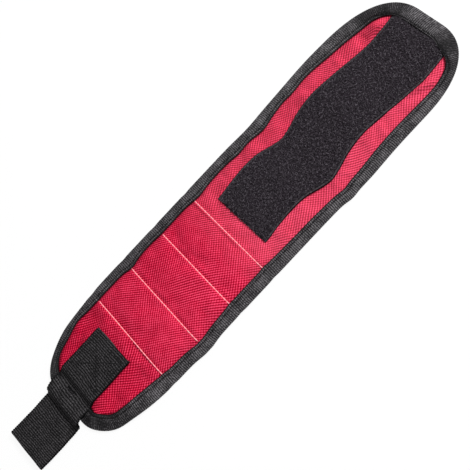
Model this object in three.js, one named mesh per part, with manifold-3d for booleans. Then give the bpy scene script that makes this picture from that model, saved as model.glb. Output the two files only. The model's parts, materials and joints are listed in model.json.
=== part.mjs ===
// A magnetic wristband laid out flat, in millimetres: X runs to the free tip, Y across the band, Z out of its outer
// face. The fabric is cut into stiff panels at the lines where it folds, so that the band can wrap.

import * as THREE from "three";
import { mergeVertices } from "three/addons/utils/BufferGeometryUtils.js";
import Module from "manifold-3d";

const wasm = await Module();
wasm.setup();

const tanOfHalf = (degrees) => Math.tan(THREE.MathUtils.degToRad(degrees / 2));

// Band outline: rounded ends, each with a short straight stretch across
const BAND_LENGTH = 309;
const BAND_WIDTH = 77;
const TAB_FLAT = 24;
const TAB_ROUND = 62;
const TIP_FLAT = 16;
const TIP_ROUND = 48;
const CORNER_POWER = 2.3;
const CORNER_STEPS = 9;

// Layers, from the wrist outwards
const LINING_THICKNESS = 2.0;
const LINING_EDGE_THICKNESS = 0.7;
const PANEL_THICKNESS = 0.8;
const LAYER_GAP = 0.3;
const FIELD_RISE = 2.0;

// Folded tape round the edge
const BINDING_THICKNESS = 0.8;
const BINDING_SIDE_LEG = 7.4;
const BINDING_END_LEG = 9.4;
const BINDING_ROUNDING = 0.6;

// Magnet pockets between the seams
const POCKET_COUNT = 3;
const FIRST_SEAM = 54.2;
const SEAM_PITCH = 27.5;
const POCKET_MARGIN = 2.2;
const POCKET_SLOPE = 1.6;
const MAGNETS_PER_POCKET = 3;
const MAGNET_THICKNESS = 2.0;
const MAGNET_CLEARANCE = 1.1;

// Seam threads
const SEAM_WIDTH = 0.8;
const SEAM_HEIGHT = 0.4;
const SEAM_FROM_FOLD = 1.3;

// Loop patch
const LOOP_COUNT = 5;
const LOOP_WIDTH = 40.5;
const LOOP_THICKNESS = 1.6;
const LOOP_FROM_LAST_SEAM = 11.1;

// Closing strap
const STRAP_WIDTH = 30;
const STRAP_THICKNESS = 1.5;
const STRAP_OFFSET = 2.0;
const STRAP_SEWN_LENGTH = 44.5;
const STRAP_RAMP = 5;
const STRAP_OVERHANG = 3;
const TAIL_REACH = 36;
const TAIL_DROP = 8;
const HOOK_THICKNESS = 1.8;
const HOOK_MARGIN = 1.0;
const BOX_STITCH_MARGIN = 3;

// Folds: the gap at the hinge line and how far each fold turns towards the wrist and back
const FOLD_GAP = 0.4;
const SEAM_WRAPS = [79, 47, 47, 44];
const LOOP_WRAPS = [58, 42, 35, 78];
const FOLD_BACK = 20;
const TAIL_WRAP = 84;

// Heights that follow from the layers
const LINING_EDGE_LOW = BINDING_THICKNESS + LAYER_GAP;
const LINING_EDGE_HIGH = LINING_EDGE_LOW + LINING_EDGE_THICKNESS;
const PANEL_EDGE_LOW = LINING_EDGE_HIGH + LAYER_GAP;
const PANEL_EDGE_HIGH = PANEL_EDGE_LOW + PANEL_THICKNESS;
const BINDING_HEIGHT = PANEL_EDGE_HIGH + LAYER_GAP + BINDING_THICKNESS;
const PANEL_LOW = LINING_THICKNESS + LAYER_GAP;
const PANEL_HIGH = PANEL_LOW + PANEL_THICKNESS;
const POCKET_LOW = PANEL_LOW + MAGNET_THICKNESS + LAYER_GAP;
const POCKET_HIGH = POCKET_LOW + PANEL_THICKNESS;
const HINGE_HEIGHT = LINING_THICKNESS + LAYER_GAP / 2;
const ON_PANEL = PANEL_HIGH + LAYER_GAP;
const ON_BINDING = BINDING_HEIGHT + LAYER_GAP;
const STRAP_TOP = ON_BINDING + STRAP_THICKNESS;
const TAIL_LOW = HOOK_THICKNESS + LAYER_GAP;

// Room inside a pocket, at its narrow top, and the magnets that fill it
const FIELD_HALF = BAND_WIDTH / 2 - BINDING_SIDE_LEG - LAYER_GAP - FIELD_RISE;
const POCKET_WALL = POCKET_MARGIN + PANEL_THICKNESS + POCKET_SLOPE;
const POCKET_ROOM_X = SEAM_PITCH - 2 * POCKET_WALL;
const POCKET_ROOM_Y = 2 * (FIELD_HALF - POCKET_WALL);
const MAGNET_PITCH = Math.min(POCKET_ROOM_X, POCKET_ROOM_Y / MAGNETS_PER_POCKET);
const MAGNET_DIAMETER = MAGNET_PITCH - MAGNET_CLEARANCE;

// Places along the band
const BAND_START = (TAIL_REACH - BAND_LENGTH) / 2;
const BAND_END = BAND_START + BAND_LENGTH;
const SEAM_X = Array.from({ length: POCKET_COUNT + 1 }, (_, i) => BAND_START + FIRST_SEAM + i * SEAM_PITCH);
const LAST_SEAM = SEAM_X[POCKET_COUNT];
const LOOP_PITCH = (BAND_END - LAST_SEAM) / LOOP_COUNT;
const TAIL_HINGE_X = BAND_START - STRAP_OVERHANG;
const TAIL_END = BAND_START - TAIL_REACH;
const SEWN_END = BAND_START + STRAP_SEWN_LENGTH;
const RAMP_HEAD = BAND_START + BINDING_END_LEG + LAYER_GAP;
const RAMP_FOOT = RAMP_HEAD + STRAP_RAMP;
const TAIL_HINGE_CUT = STRAP_THICKNESS * tanOfHalf(TAIL_WRAP);

const FOLDS = [
  ...SEAM_X.map((x, i) => ({ x, wrap: SEAM_WRAPS[i] })),
  ...LOOP_WRAPS.map((wrap, i) => ({ x: LAST_SEAM + (i + 1) * LOOP_PITCH, wrap })),
];
const SEGMENTS = [
  "tab",
  ...Array.from({ length: POCKET_COUNT }, (_, i) => `pocket_${i + 1}`),
  ...Array.from({ length: LOOP_COUNT }, (_, i) => `loop_${i + 1}`),
];

const COLOURS = {
  fabric: 0xc41f3f,
  lining: 0x2a2a2c,
  binding: 0x3a3a3b,
  loop: 0x29272b,
  webbing: 0x2c2c2d,
  hook: 0x1c1c1d,
  thread: 0xf2b9b4,
  darkThread: 0x1a1a1b,
  magnet: 0xb9bbbd,
};

// Solids: three.js geometry goes into booleans as closed bodies and comes back as geometry

function solid(geometry) {
  const bare = new THREE.BufferGeometry();
  bare.setAttribute("position", geometry.getAttribute("position"));
  bare.setIndex(geometry.getIndex());
  const welded = mergeVertices(bare, 1e-5);
  return new wasm.Manifold(
    new wasm.Mesh({
      numProp: 3,
      vertProperties: Float32Array.from(welded.getAttribute("position").array),
      triVerts: Uint32Array.from(welded.getIndex().array),
    }),
  );
}

function geometryOf(body) {
  const mesh = body.getMesh();
  const geometry = new THREE.BufferGeometry();
  geometry.setAttribute("position", new THREE.BufferAttribute(mesh.vertProperties, 3));
  geometry.setIndex(new THREE.BufferAttribute(mesh.triVerts, 1));
  geometry.computeVertexNormals();
  return geometry;
}

function box(xRange, yRange, zRange) {
  const geometry = new THREE.BoxGeometry(xRange[1] - xRange[0], yRange[1] - yRange[0], zRange[1] - zRange[0]);
  geometry.translate((xRange[0] + xRange[1]) / 2, (yRange[0] + yRange[1]) / 2, (zRange[0] + zRange[1]) / 2);
  return solid(geometry);
}

// A profile drawn in X and Z, run across the band between two Y values
function acrossBand(profile, yRange) {
  const shape = new THREE.Shape(profile.map(([x, z]) => new THREE.Vector2(x, z)));
  const geometry = new THREE.ExtrudeGeometry(shape, { depth: yRange[1] - yRange[0], bevelEnabled: false });
  geometry.rotateX(Math.PI / 2);
  geometry.translate(0, yRange[1], 0);
  return solid(geometry);
}

// A box whose top is smaller than its foot by the slope on every side
function frustum(xRange, yRange, zRange, slope) {
  const geometry = new THREE.BoxGeometry(1, 1, 1);
  const position = geometry.getAttribute("position");
  for (let i = 0; i < position.count; i += 1) {
    const high = position.getZ(i) > 0;
    const inset = high ? slope : 0;
    const x = position.getX(i) > 0 ? xRange[1] - inset : xRange[0] + inset;
    const y = position.getY(i) > 0 ? yRange[1] - inset : yRange[0] + inset;
    position.setXYZ(i, x, y, high ? zRange[1] : zRange[0]);
  }
  return solid(geometry);
}

// Outline of the band: points with their outward directions, counter-clockwise from above

function cornerPoint(turn, round, flat) {
  const rise = (BAND_WIDTH - flat) / 2;
  const power = 2 / CORNER_POWER;
  const along = round * (1 - Math.cos(turn) ** power);
  const across = flat / 2 + rise * Math.sin(turn) ** power;
  const outAlong = Math.cos(turn) ** (2 - power) / round;
  const outAcross = Math.sin(turn) ** (2 - power) / rise;
  return { along, across, out: new THREE.Vector2(outAlong, outAcross).normalize() };
}

function outlinePoints() {
  const turns = Array.from({ length: CORNER_STEPS + 1 }, (_, i) => (i / CORNER_STEPS) * (Math.PI / 2));
  const tip = turns.map((turn) => cornerPoint(turn, TIP_ROUND, TIP_FLAT));
  const tab = turns.map((turn) => cornerPoint(turn, TAB_ROUND, TAB_FLAT));
  const place = (corner, end, alongSign, side) => ({
    point: new THREE.Vector2(end - alongSign * corner.along, side * corner.across),
    out: new THREE.Vector2(alongSign * corner.out.x, side * corner.out.y),
  });
  return [
    ...tip.map((corner) => place(corner, BAND_END, 1, 1)),
    ...tab.toReversed().map((corner) => place(corner, BAND_START, -1, 1)),
    ...tab.map((corner) => place(corner, BAND_START, -1, -1)),
    ...tip.toReversed().map((corner) => place(corner, BAND_END, 1, -1)),
  ];
}

const OUTLINE = outlinePoints();

// The tape's leg is wider round the ends than along the sides
function legAt(out) {
  return BINDING_SIDE_LEG + (BINDING_END_LEG - BINDING_SIDE_LEG) * out.x * out.x;
}

// The outline drawn in by a number of leg widths and an extra distance
function insetLoop(legs, extra) {
  return OUTLINE.map(({ point, out }) => point.clone().addScaledVector(out, -(legs * legAt(out) + extra)));
}

function joinRings(rings) {
  const size = rings[0].length;
  const indices = [];
  for (let ring = 0; ring + 1 < rings.length; ring += 1) {
    for (let i = 0; i < size; i += 1) {
      const a = ring * size + i;
      const b = ring * size + ((i + 1) % size);
      indices.push(a, b, b + size, a, b + size, a + size);
    }
  }
  return indices;
}

function ringGeometry(rings, indices) {
  const geometry = new THREE.BufferGeometry();
  const numbers = rings.flat().flatMap((point) => [point.x, point.y, point.z]);
  geometry.setAttribute("position", new THREE.Float32BufferAttribute(numbers, 3));
  geometry.setIndex(indices);
  return geometry;
}

// A sheet closed over a stack of rings, from its underside to its top, each the outline drawn in and set at a height
function sheetFromRings(steps) {
  const loops = steps.map(({ legs, extra }) => insetLoop(legs, extra));
  const rings = loops.map((loop, i) => loop.map((p) => new THREE.Vector3(p.x, p.y, steps[i].z)));
  const indices = joinRings(rings);
  const last = (rings.length - 1) * OUTLINE.length;
  for (const [a, b, c] of THREE.ShapeUtils.triangulateShape(loops[0], [])) {
    indices.push(a, c, b);
  }
  for (const [a, b, c] of THREE.ShapeUtils.triangulateShape(loops[loops.length - 1], [])) {
    indices.push(last + a, last + b, last + c);
  }
  return solid(ringGeometry(rings, indices));
}

// Whole layers of the band, before they are cut at the folds

function wholeLining() {
  const edge = BINDING_THICKNESS + LAYER_GAP;
  return sheetFromRings([
    { legs: 1, extra: LAYER_GAP + FIELD_RISE, z: 0 },
    { legs: 1, extra: LAYER_GAP, z: LINING_EDGE_LOW },
    { legs: 0, extra: edge, z: LINING_EDGE_LOW },
    { legs: 0, extra: edge, z: LINING_EDGE_HIGH },
    { legs: 1, extra: LAYER_GAP, z: LINING_EDGE_HIGH },
    { legs: 1, extra: LAYER_GAP + FIELD_RISE, z: LINING_THICKNESS },
  ]);
}

function wholePanel() {
  const edge = BINDING_THICKNESS + LAYER_GAP;
  return sheetFromRings([
    { legs: 1, extra: LAYER_GAP + FIELD_RISE, z: PANEL_LOW },
    { legs: 1, extra: LAYER_GAP, z: PANEL_EDGE_LOW },
    { legs: 0, extra: edge, z: PANEL_EDGE_LOW },
    { legs: 0, extra: edge, z: PANEL_EDGE_HIGH },
    { legs: 1, extra: LAYER_GAP, z: PANEL_EDGE_HIGH },
    { legs: 1, extra: LAYER_GAP + FIELD_RISE, z: PANEL_HIGH },
  ]);
}

// The tape is a channel in section, run once round the outline
function wholeBinding() {
  const inner = BINDING_HEIGHT - BINDING_THICKNESS;
  const section = [
    { legs: 0, extra: 0, z: BINDING_ROUNDING },
    { legs: 0, extra: 0, z: BINDING_HEIGHT - BINDING_ROUNDING },
    { legs: 0, extra: BINDING_ROUNDING, z: BINDING_HEIGHT },
    { legs: 1, extra: 0, z: BINDING_HEIGHT },
    { legs: 1, extra: 0, z: inner },
    { legs: 0, extra: BINDING_THICKNESS, z: inner },
    { legs: 0, extra: BINDING_THICKNESS, z: BINDING_THICKNESS },
    { legs: 1, extra: 0, z: BINDING_THICKNESS },
    { legs: 1, extra: 0, z: 0 },
    { legs: 0, extra: BINDING_ROUNDING, z: 0 },
  ];
  const rings = [...section, section[0]].map(({ legs, extra, z }) =>
    insetLoop(legs, extra).map((p) => new THREE.Vector3(p.x, p.y, z)),
  );
  return solid(ringGeometry(rings, joinRings(rings)));
}

function wholeLoopPatch() {
  const start = LAST_SEAM + LOOP_FROM_LAST_SEAM;
  const half = LOOP_WIDTH / 2;
  const strip = box([start, BAND_END], [-half, half], [ON_PANEL, ON_PANEL + LOOP_THICKNESS]);
  const inside = new THREE.Shape(insetLoop(1, LAYER_GAP));
  const field = solid(new THREE.ExtrudeGeometry(inside, { depth: STRAP_TOP, bevelEnabled: false }));
  return strip.intersect(field);
}

// Folds: a segment's envelope leans back from each fold line, above and below the hinge height, by half its turn

function foldFace(fold, side) {
  const low = -1;
  const high = STRAP_TOP + 1;
  const at = (z, turn) => fold.x + side * (FOLD_GAP / 2 + Math.abs(z - HINGE_HEIGHT) * tanOfHalf(turn));
  return [
    [at(low, fold.wrap), low],
    [at(HINGE_HEIGHT, 0), HINGE_HEIGHT],
    [at(high, FOLD_BACK), high],
  ];
}

function endFace(x) {
  return [
    [x, -1],
    [x, HINGE_HEIGHT],
    [x, STRAP_TOP + 1],
  ];
}

function envelope(index) {
  const start = index === 0 ? endFace(BAND_START - 1) : foldFace(FOLDS[index - 1], 1);
  const end = index === SEGMENTS.length - 1 ? endFace(BAND_END + 1) : foldFace(FOLDS[index], -1);
  return acrossBand([...end, ...start.toReversed()], [-BAND_WIDTH, BAND_WIDTH]);
}

const part = new THREE.Group();
part.name = "magnetic_wristband";

function addNode(name, body, colour, roughness = 0.9, metalness = 0) {
  const material = new THREE.MeshStandardMaterial({ color: colour, roughness, metalness });
  const mesh = new THREE.Mesh(geometryOf(body), material);
  mesh.name = name;
  part.add(mesh);
}

// Outer panel of a pocket: raised over its magnets and hollow beneath
function pocketPanel(panel, index) {
  const x = [SEAM_X[index] + POCKET_MARGIN, SEAM_X[index + 1] - POCKET_MARGIN];
  const half = FIELD_HALF - POCKET_MARGIN;
  const wall = PANEL_THICKNESS;
  const outer = frustum(x, [-half, half], [PANEL_LOW + LAYER_GAP, POCKET_HIGH], POCKET_SLOPE);
  const hollowX = [x[0] + wall, x[1] - wall];
  const hollowY = [wall - half, half - wall];
  const hollow = frustum(hollowX, hollowY, [PANEL_LOW - LAYER_GAP, POCKET_LOW], POCKET_SLOPE);
  return panel.add(outer).subtract(hollow);
}

function addMagnets(index) {
  const x = (SEAM_X[index] + SEAM_X[index + 1]) / 2;
  for (let i = 0; i < MAGNETS_PER_POCKET; i += 1) {
    const y = (i - (MAGNETS_PER_POCKET - 1) / 2) * MAGNET_PITCH;
    const disc = new THREE.CylinderGeometry(MAGNET_DIAMETER / 2, MAGNET_DIAMETER / 2, MAGNET_THICKNESS, 32);
    disc.rotateX(Math.PI / 2);
    disc.translate(x, y, PANEL_LOW + MAGNET_THICKNESS / 2);
    addNode(`magnet_${index + 1}_${i + 1}`, solid(disc), COLOURS.magnet, 0.3, 1);
  }
}

function addPocketSeam(index, cut) {
  const x = SEAM_X[index] + SEAM_FROM_FOLD;
  const width = [x - SEAM_WIDTH / 2, x + SEAM_WIDTH / 2];
  const thread = box(width, [-FIELD_HALF, FIELD_HALF], [ON_PANEL, ON_PANEL + SEAM_HEIGHT]);
  addNode(`pocket_seam_${index + 1}`, thread.intersect(cut), COLOURS.thread);
}

function addBinding(binding, cut, index) {
  const name = SEGMENTS[index];
  const strip = binding.intersect(cut);
  const atEnd = index === 0 || index === SEGMENTS.length - 1;
  if (atEnd) {
    addNode(`binding_${name}`, strip, COLOURS.binding);
    return;
  }
  const all = [BAND_START - 1, BAND_END + 1];
  const tall = [-1, STRAP_TOP];
  addNode(`binding_far_${name}`, strip.intersect(box(all, [0, BAND_WIDTH], tall)), COLOURS.binding);
  addNode(`binding_near_${name}`, strip.intersect(box(all, [-BAND_WIDTH, 0], tall)), COLOURS.binding);
}

function addSegments() {
  const lining = wholeLining();
  const panel = wholePanel();
  const binding = wholeBinding();
  const patch = wholeLoopPatch();
  SEGMENTS.forEach((name, index) => {
    const cut = envelope(index);
    const pocket = index - 1;
    const isPocket = pocket >= 0 && pocket < POCKET_COUNT;
    const isLoop = pocket >= POCKET_COUNT;
    const flat = panel.intersect(cut);
    addNode(`panel_${name}`, isPocket ? pocketPanel(flat, pocket) : flat, COLOURS.fabric);
    addNode(`lining_${name}`, lining.intersect(cut), COLOURS.lining);
    addBinding(binding, cut, index);
    if (isPocket) {
      addMagnets(pocket);
    }
    if (isLoop) {
      addNode(`patch_${name}`, patch.intersect(cut), COLOURS.loop);
    }
    if (pocket >= 0 && pocket <= POCKET_COUNT) {
      addPocketSeam(pocket, cut);
    }
  });
}

// Closing strap: sewn on over the binding, then a tail that folds at the band's edge

function strapY(margin) {
  return [STRAP_OFFSET - STRAP_WIDTH / 2 + margin, STRAP_OFFSET + STRAP_WIDTH / 2 - margin];
}

function addStrapBase() {
  const hingeEnd = TAIL_HINGE_X + FOLD_GAP / 2;
  const profile = [
    [SEWN_END, ON_PANEL],
    [SEWN_END, ON_PANEL + STRAP_THICKNESS],
    [RAMP_FOOT, ON_PANEL + STRAP_THICKNESS],
    [RAMP_HEAD, STRAP_TOP],
    [hingeEnd, STRAP_TOP],
    [hingeEnd + TAIL_HINGE_CUT, ON_BINDING],
    [RAMP_HEAD, ON_BINDING],
    [RAMP_FOOT, ON_PANEL],
  ];
  addNode("strap_base", acrossBand(profile, strapY(0)), COLOURS.webbing);
}

function addStrapTail() {
  const hingeEnd = TAIL_HINGE_X - FOLD_GAP / 2;
  const dropFoot = TAIL_HINGE_X - TAIL_DROP;
  const profile = [
    [hingeEnd, STRAP_TOP],
    [dropFoot, TAIL_LOW + STRAP_THICKNESS],
    [TAIL_END, TAIL_LOW + STRAP_THICKNESS],
    [TAIL_END, TAIL_LOW],
    [dropFoot - TAIL_HINGE_CUT, TAIL_LOW],
    [hingeEnd - TAIL_HINGE_CUT, ON_BINDING],
  ];
  addNode("strap_tail", acrossBand(profile, strapY(0)), COLOURS.webbing);
  const hookX = [TAIL_END + HOOK_MARGIN, dropFoot - TAIL_HINGE_CUT - HOOK_MARGIN];
  addNode("hook_tape", box(hookX, strapY(HOOK_MARGIN), [0, HOOK_THICKNESS]), COLOURS.hook);
}

// The strap is held by a sewn square with a cross in it
function addBoxStitch() {
  const right = SEWN_END - BOX_STITCH_MARGIN;
  const left = RAMP_FOOT + BOX_STITCH_MARGIN;
  const [near, far] = strapY(BOX_STITCH_MARGIN);
  const z = ON_PANEL + STRAP_THICKNESS + LAYER_GAP;
  const heights = [z, z + SEAM_HEIGHT];
  const half = SEAM_WIDTH / 2;
  let stitch = box([left - half, right + half], [near - half, near + half], heights);
  stitch = stitch.add(box([left - half, right + half], [far - half, far + half], heights));
  stitch = stitch.add(box([left - half, left + half], [near, far], heights));
  stitch = stitch.add(box([right - half, right + half], [near, far], heights));
  for (const side of [-1, 1]) {
    const diagonal = new THREE.BoxGeometry(Math.hypot(right - left, far - near), SEAM_WIDTH, SEAM_HEIGHT);
    diagonal.rotateZ(side * Math.atan2(far - near, right - left));
    diagonal.translate((left + right) / 2, (near + far) / 2, z + SEAM_HEIGHT / 2);
    stitch = stitch.add(solid(diagonal));
  }
  addNode("box_stitch", stitch, COLOURS.darkThread);
}

addSegments();
addStrapBase();
addStrapTail();
addBoxStitch();

export default part;
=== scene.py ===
"""Dresses the magnetic wristband: woven panel, mesh lining, bound edge, loop patch and closing strap.

All sizes are in millimetres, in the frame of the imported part: x runs along the band from the strap's end to
the tip, y across it and z up. Meshes are written in metres.
"""

from __future__ import annotations

import json
import logging
import math
from collections.abc import Callable, Sequence
from dataclasses import dataclass, field
from enum import Enum

import bpy
import numpy as np
from mathutils import Matrix, Vector

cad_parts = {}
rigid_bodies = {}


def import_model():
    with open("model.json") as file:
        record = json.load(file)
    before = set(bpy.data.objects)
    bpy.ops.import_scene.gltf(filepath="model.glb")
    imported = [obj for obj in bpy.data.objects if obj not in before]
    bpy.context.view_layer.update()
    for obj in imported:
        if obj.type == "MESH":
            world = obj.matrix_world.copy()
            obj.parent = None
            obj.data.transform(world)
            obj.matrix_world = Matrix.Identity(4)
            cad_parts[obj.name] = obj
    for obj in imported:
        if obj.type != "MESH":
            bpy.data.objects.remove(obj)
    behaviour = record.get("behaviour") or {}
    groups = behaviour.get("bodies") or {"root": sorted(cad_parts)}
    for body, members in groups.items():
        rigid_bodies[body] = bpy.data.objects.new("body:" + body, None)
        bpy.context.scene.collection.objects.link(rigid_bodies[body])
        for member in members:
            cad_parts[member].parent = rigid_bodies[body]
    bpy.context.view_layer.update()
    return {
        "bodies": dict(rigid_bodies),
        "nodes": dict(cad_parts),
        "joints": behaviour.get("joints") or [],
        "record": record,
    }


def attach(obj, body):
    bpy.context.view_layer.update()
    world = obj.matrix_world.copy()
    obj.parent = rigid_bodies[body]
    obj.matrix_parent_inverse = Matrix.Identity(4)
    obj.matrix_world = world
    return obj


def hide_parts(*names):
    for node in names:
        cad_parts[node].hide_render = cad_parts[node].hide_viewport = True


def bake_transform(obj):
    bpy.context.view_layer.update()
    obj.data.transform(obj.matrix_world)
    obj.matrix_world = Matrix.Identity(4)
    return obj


LOG = logging.getLogger("wristband")
MM = 0.001
Array = np.ndarray
Curve = tuple[tuple[float, float], ...]
Bumps = tuple[tuple[float, float, float], ...]
Zones = tuple[tuple[float, float, int], ...]
Limits = tuple[float, float, float, float]
Place = Callable[[Array, Array], tuple[Array, Array, Array]]
Weave = Callable[[Array, Array], tuple[Array, Array]]
MATH = "ShaderNodeMath"
NOISE = "ShaderNodeTexNoise"
RAMP = "ShaderNodeValToRGB"
RANGE = "ShaderNodeMapRange"
BUMP = "ShaderNodeBump"
MIX = "ShaderNodeMix"
PRINCIPLED = "ShaderNodeBsdfPrincipled"
SURFACE = "ShaderNodeOutputMaterial"
SPECULAR = "Specular IOR Level"
TAUT_AND_SHADED = "taut_and_shaded"


class Slot(Enum):
    """The record's material slots."""

    OUTER = "outer_fabric"
    LINING = "lining_mesh"
    BINDING = "binding_tape"
    LOOP = "loop_pile"
    WEBBING = "webbing"
    HOOK = "hook_tape"
    SEAM = "seam_thread"
    STRAP_THREAD = "strap_thread"
    MAGNET = "magnet"


# Small shape helpers


def eased(share: Array) -> Array:
    """A step from 0 to 1 that starts and ends level."""
    share = np.clip(share, 0.0, 1.0)
    return share * share * (3.0 - 2.0 * share)


def through(points: Sequence[tuple[float, float]], at: Array) -> Array:
    """A smooth curve through named points.

    Args:
        points: pairs of place and value, in rising order of place.
        at: the places to read.

    Returns:
        The curve's values, held level beyond both ends.
    """
    place, value = np.array(points, float).T
    slope = np.gradient(value, place)
    slope[0] = 0.0
    slope[-1] = 0.0
    at = np.clip(np.asarray(at, float), place[0], place[-1])
    low = np.clip(np.searchsorted(place, at, side="right") - 1, 0, len(place) - 2)
    span = place[low + 1] - place[low]
    share = (at - place[low]) / span
    square, cube = share**2, share**3
    return (
        (2 * cube - 3 * square + 1) * value[low]
        + (cube - 2 * square + share) * span * slope[low]
        + (3 * square - 2 * cube) * value[low + 1]
        + (cube - square) * span * slope[low + 1]
    )


def mound(at: Array, middle: float, reach: float) -> Array:
    """A bell of height 1 at middle that fades out over reach."""
    return np.exp(-(((np.asarray(at, float) - middle) / reach) ** 2))


def steps(start: float, end: float, spacing: float) -> Array:
    """Places from start to end, about spacing apart."""
    return np.linspace(start, end, max(2, int(round(abs(end - start) / spacing)) + 1))


def graded(zones: Zones) -> Array:
    """Places through zones that meet, each with its own start, end and count."""
    return np.unique(np.concatenate([np.linspace(*zone) for zone in zones]))


# Modelling helpers


def pick(piece: bpy.types.Object) -> None:
    """Makes one object the only selected one.

    Args:
        piece: the object.
    """
    bpy.ops.object.select_all(action="DESELECT")
    piece.select_set(True)
    bpy.context.view_layer.objects.active = piece


def finish_with(piece: bpy.types.Object, kind: str, **settings: object) -> None:
    """Adds a modifier with its settings and applies it.

    Args:
        piece: the object.
        kind: the modifier's type.
        settings: the modifier's own settings.
    """
    pick(piece)
    modifier = piece.modifiers.new(kind.lower(), kind)
    for name, value in settings.items():
        setattr(modifier, name, value)
    bpy.ops.object.modifier_apply(modifier=modifier.name)


def smooth_shaded(piece: bpy.types.Object, degrees: float = 40.0) -> None:
    """Shades a piece smooth, with creases where faces turn by more than the angle."""
    pick(piece)
    bpy.ops.object.shade_smooth_by_angle(angle=math.radians(degrees))


def coat(piece: bpy.types.Object, material: bpy.types.Material) -> None:
    """Gives a piece one material in place of any other."""
    piece.data.materials.clear()
    piece.data.materials.append(material)


def rename(piece: bpy.types.Object, name: str) -> bpy.types.Object:
    """Gives an object and its mesh the same name.

    Args:
        piece: the object.
        name: its new name.

    Returns:
        The same object.
    """
    piece.name = name
    piece.data.name = name
    return piece


def points_of(piece: bpy.types.Object) -> Array:
    """A mesh's points in millimetres.

    Args:
        piece: the object.

    Returns:
        A row of x, y and z for each point.
    """
    flat = np.empty(len(piece.data.vertices) * 3, np.float32)
    piece.data.vertices.foreach_get("co", flat)
    return flat.reshape(-1, 3).astype(float) / MM


def put_points(piece: bpy.types.Object, places: Array) -> None:
    """Writes a mesh's points from millimetres."""
    piece.data.vertices.foreach_set("co", (places * MM).astype(np.float32).ravel())
    piece.data.update()


def cloth_grid(
    name: str, along: Array, across: Array, place: Place, weave: Weave | None = None
) -> bpy.types.Object:
    """Lays out a grid as cloth, with a UV map in the cloth's own millimetres.

    Args:
        name: the object's name.
        along: the cloth's places along its length.
        across: the cloth's places across it; rising turns the face up, falling turns it down.
        place: gives x, y and z for a place on the cloth.
        weave: gives the UV map's millimetres for a place, or None where the cloth's own places will do.

    Returns:
        The open sheet.
    """
    bpy.ops.object.select_all(action="DESELECT")
    bpy.ops.mesh.primitive_grid_add(x_subdivisions=len(along) - 1, y_subdivisions=len(across) - 1, size=2.0)
    sheet = rename(bpy.context.object, name)
    corner = points_of(sheet) * MM
    column = np.rint((corner[:, 0] + 1.0) / 2.0 * (len(along) - 1)).astype(int)
    row = np.rint((corner[:, 1] + 1.0) / 2.0 * (len(across) - 1)).astype(int)
    cloth = (along[column], across[row])
    put_points(sheet, np.stack(place(*cloth), axis=1))
    threads = np.stack(weave(*cloth) if weave else cloth, axis=1)
    vertex = np.empty(len(sheet.data.loops), np.int32)
    sheet.data.loops.foreach_get("vertex_index", vertex)
    sheet.data.uv_layers.active.data.foreach_set("uv", threads[vertex].astype(np.float32).ravel())
    return sheet


def cut_out(sheet: bpy.types.Object, name: str, low: float | None, high: float | None) -> bpy.types.Object:
    """Copies the stretch of a sheet between two planes across the band.

    Args:
        sheet: the whole sheet, which stays as it is.
        name: the new piece's name.
        low: the plane on the strap's side, or None to keep all of that side.
        high: the plane on the tip's side, or None to keep all of that side.

    Returns:
        The piece between the planes.
    """
    pick(sheet)
    bpy.ops.object.duplicate()
    piece = rename(bpy.context.object, name)
    bpy.ops.object.mode_set(mode="EDIT")
    for plane, below in ((low, True), (high, False)):
        if plane is None:
            continue
        bpy.ops.mesh.select_all(action="SELECT")
        bpy.ops.mesh.bisect(
            plane_co=(plane * MM, 0.0, 0.0),
            plane_no=(1.0, 0.0, 0.0),
            clear_inner=below,
            clear_outer=not below,
        )
    bpy.ops.object.mode_set(mode="OBJECT")
    return piece


def copies(model: bpy.types.Object, frames: Sequence[Matrix], name: str) -> bpy.types.Object:
    """Copies a small model to many places, joins the copies and removes the model.

    Args:
        model: the model, at the origin, in metres.
        frames: where each copy goes.
        name: the joined object's name.

    Returns:
        The joined copies.
    """
    spots = points_of(model) * MM
    faces = [np.array(face.vertices) for face in model.data.polygons]
    turned = [spots @ np.array(frame.to_3x3()).T + np.array(frame.translation) for frame in frames]
    corners = [(face + number * len(spots)).tolist() for number in range(len(frames)) for face in faces]
    mesh = bpy.data.meshes.new(name)
    mesh.from_pydata(np.concatenate(turned).tolist(), [], corners)
    bpy.data.objects.remove(model)
    joined = bpy.data.objects.new(name, mesh)
    bpy.context.scene.collection.objects.link(joined)
    smooth_shaded(joined, 75.0)
    return joined


def joined_to(piece: bpy.types.Object, extra: bpy.types.Object) -> bpy.types.Object:
    """Joins an extra mesh into a piece, with its own material.

    Args:
        piece: the piece.
        extra: the mesh that goes into it.

    Returns:
        The piece.
    """
    pick(piece)
    extra.select_set(True)
    bpy.ops.object.join()
    return piece


# Node helpers


def linear(colour: str) -> tuple[float, float, float, float]:
    """Turns an sRGB hex colour to linear light.

    Args:
        colour: the colour, such as #c8163a.

    Returns:
        Red, green, blue and a full alpha.
    """
    parts = [int(colour[i : i + 2], 16) / 255.0 for i in (1, 3, 5)]
    red, green, blue = (p / 12.92 if p <= 0.04045 else ((p + 0.055) / 1.055) ** 2.4 for p in parts)
    return (red, green, blue, 1.0)


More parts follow.
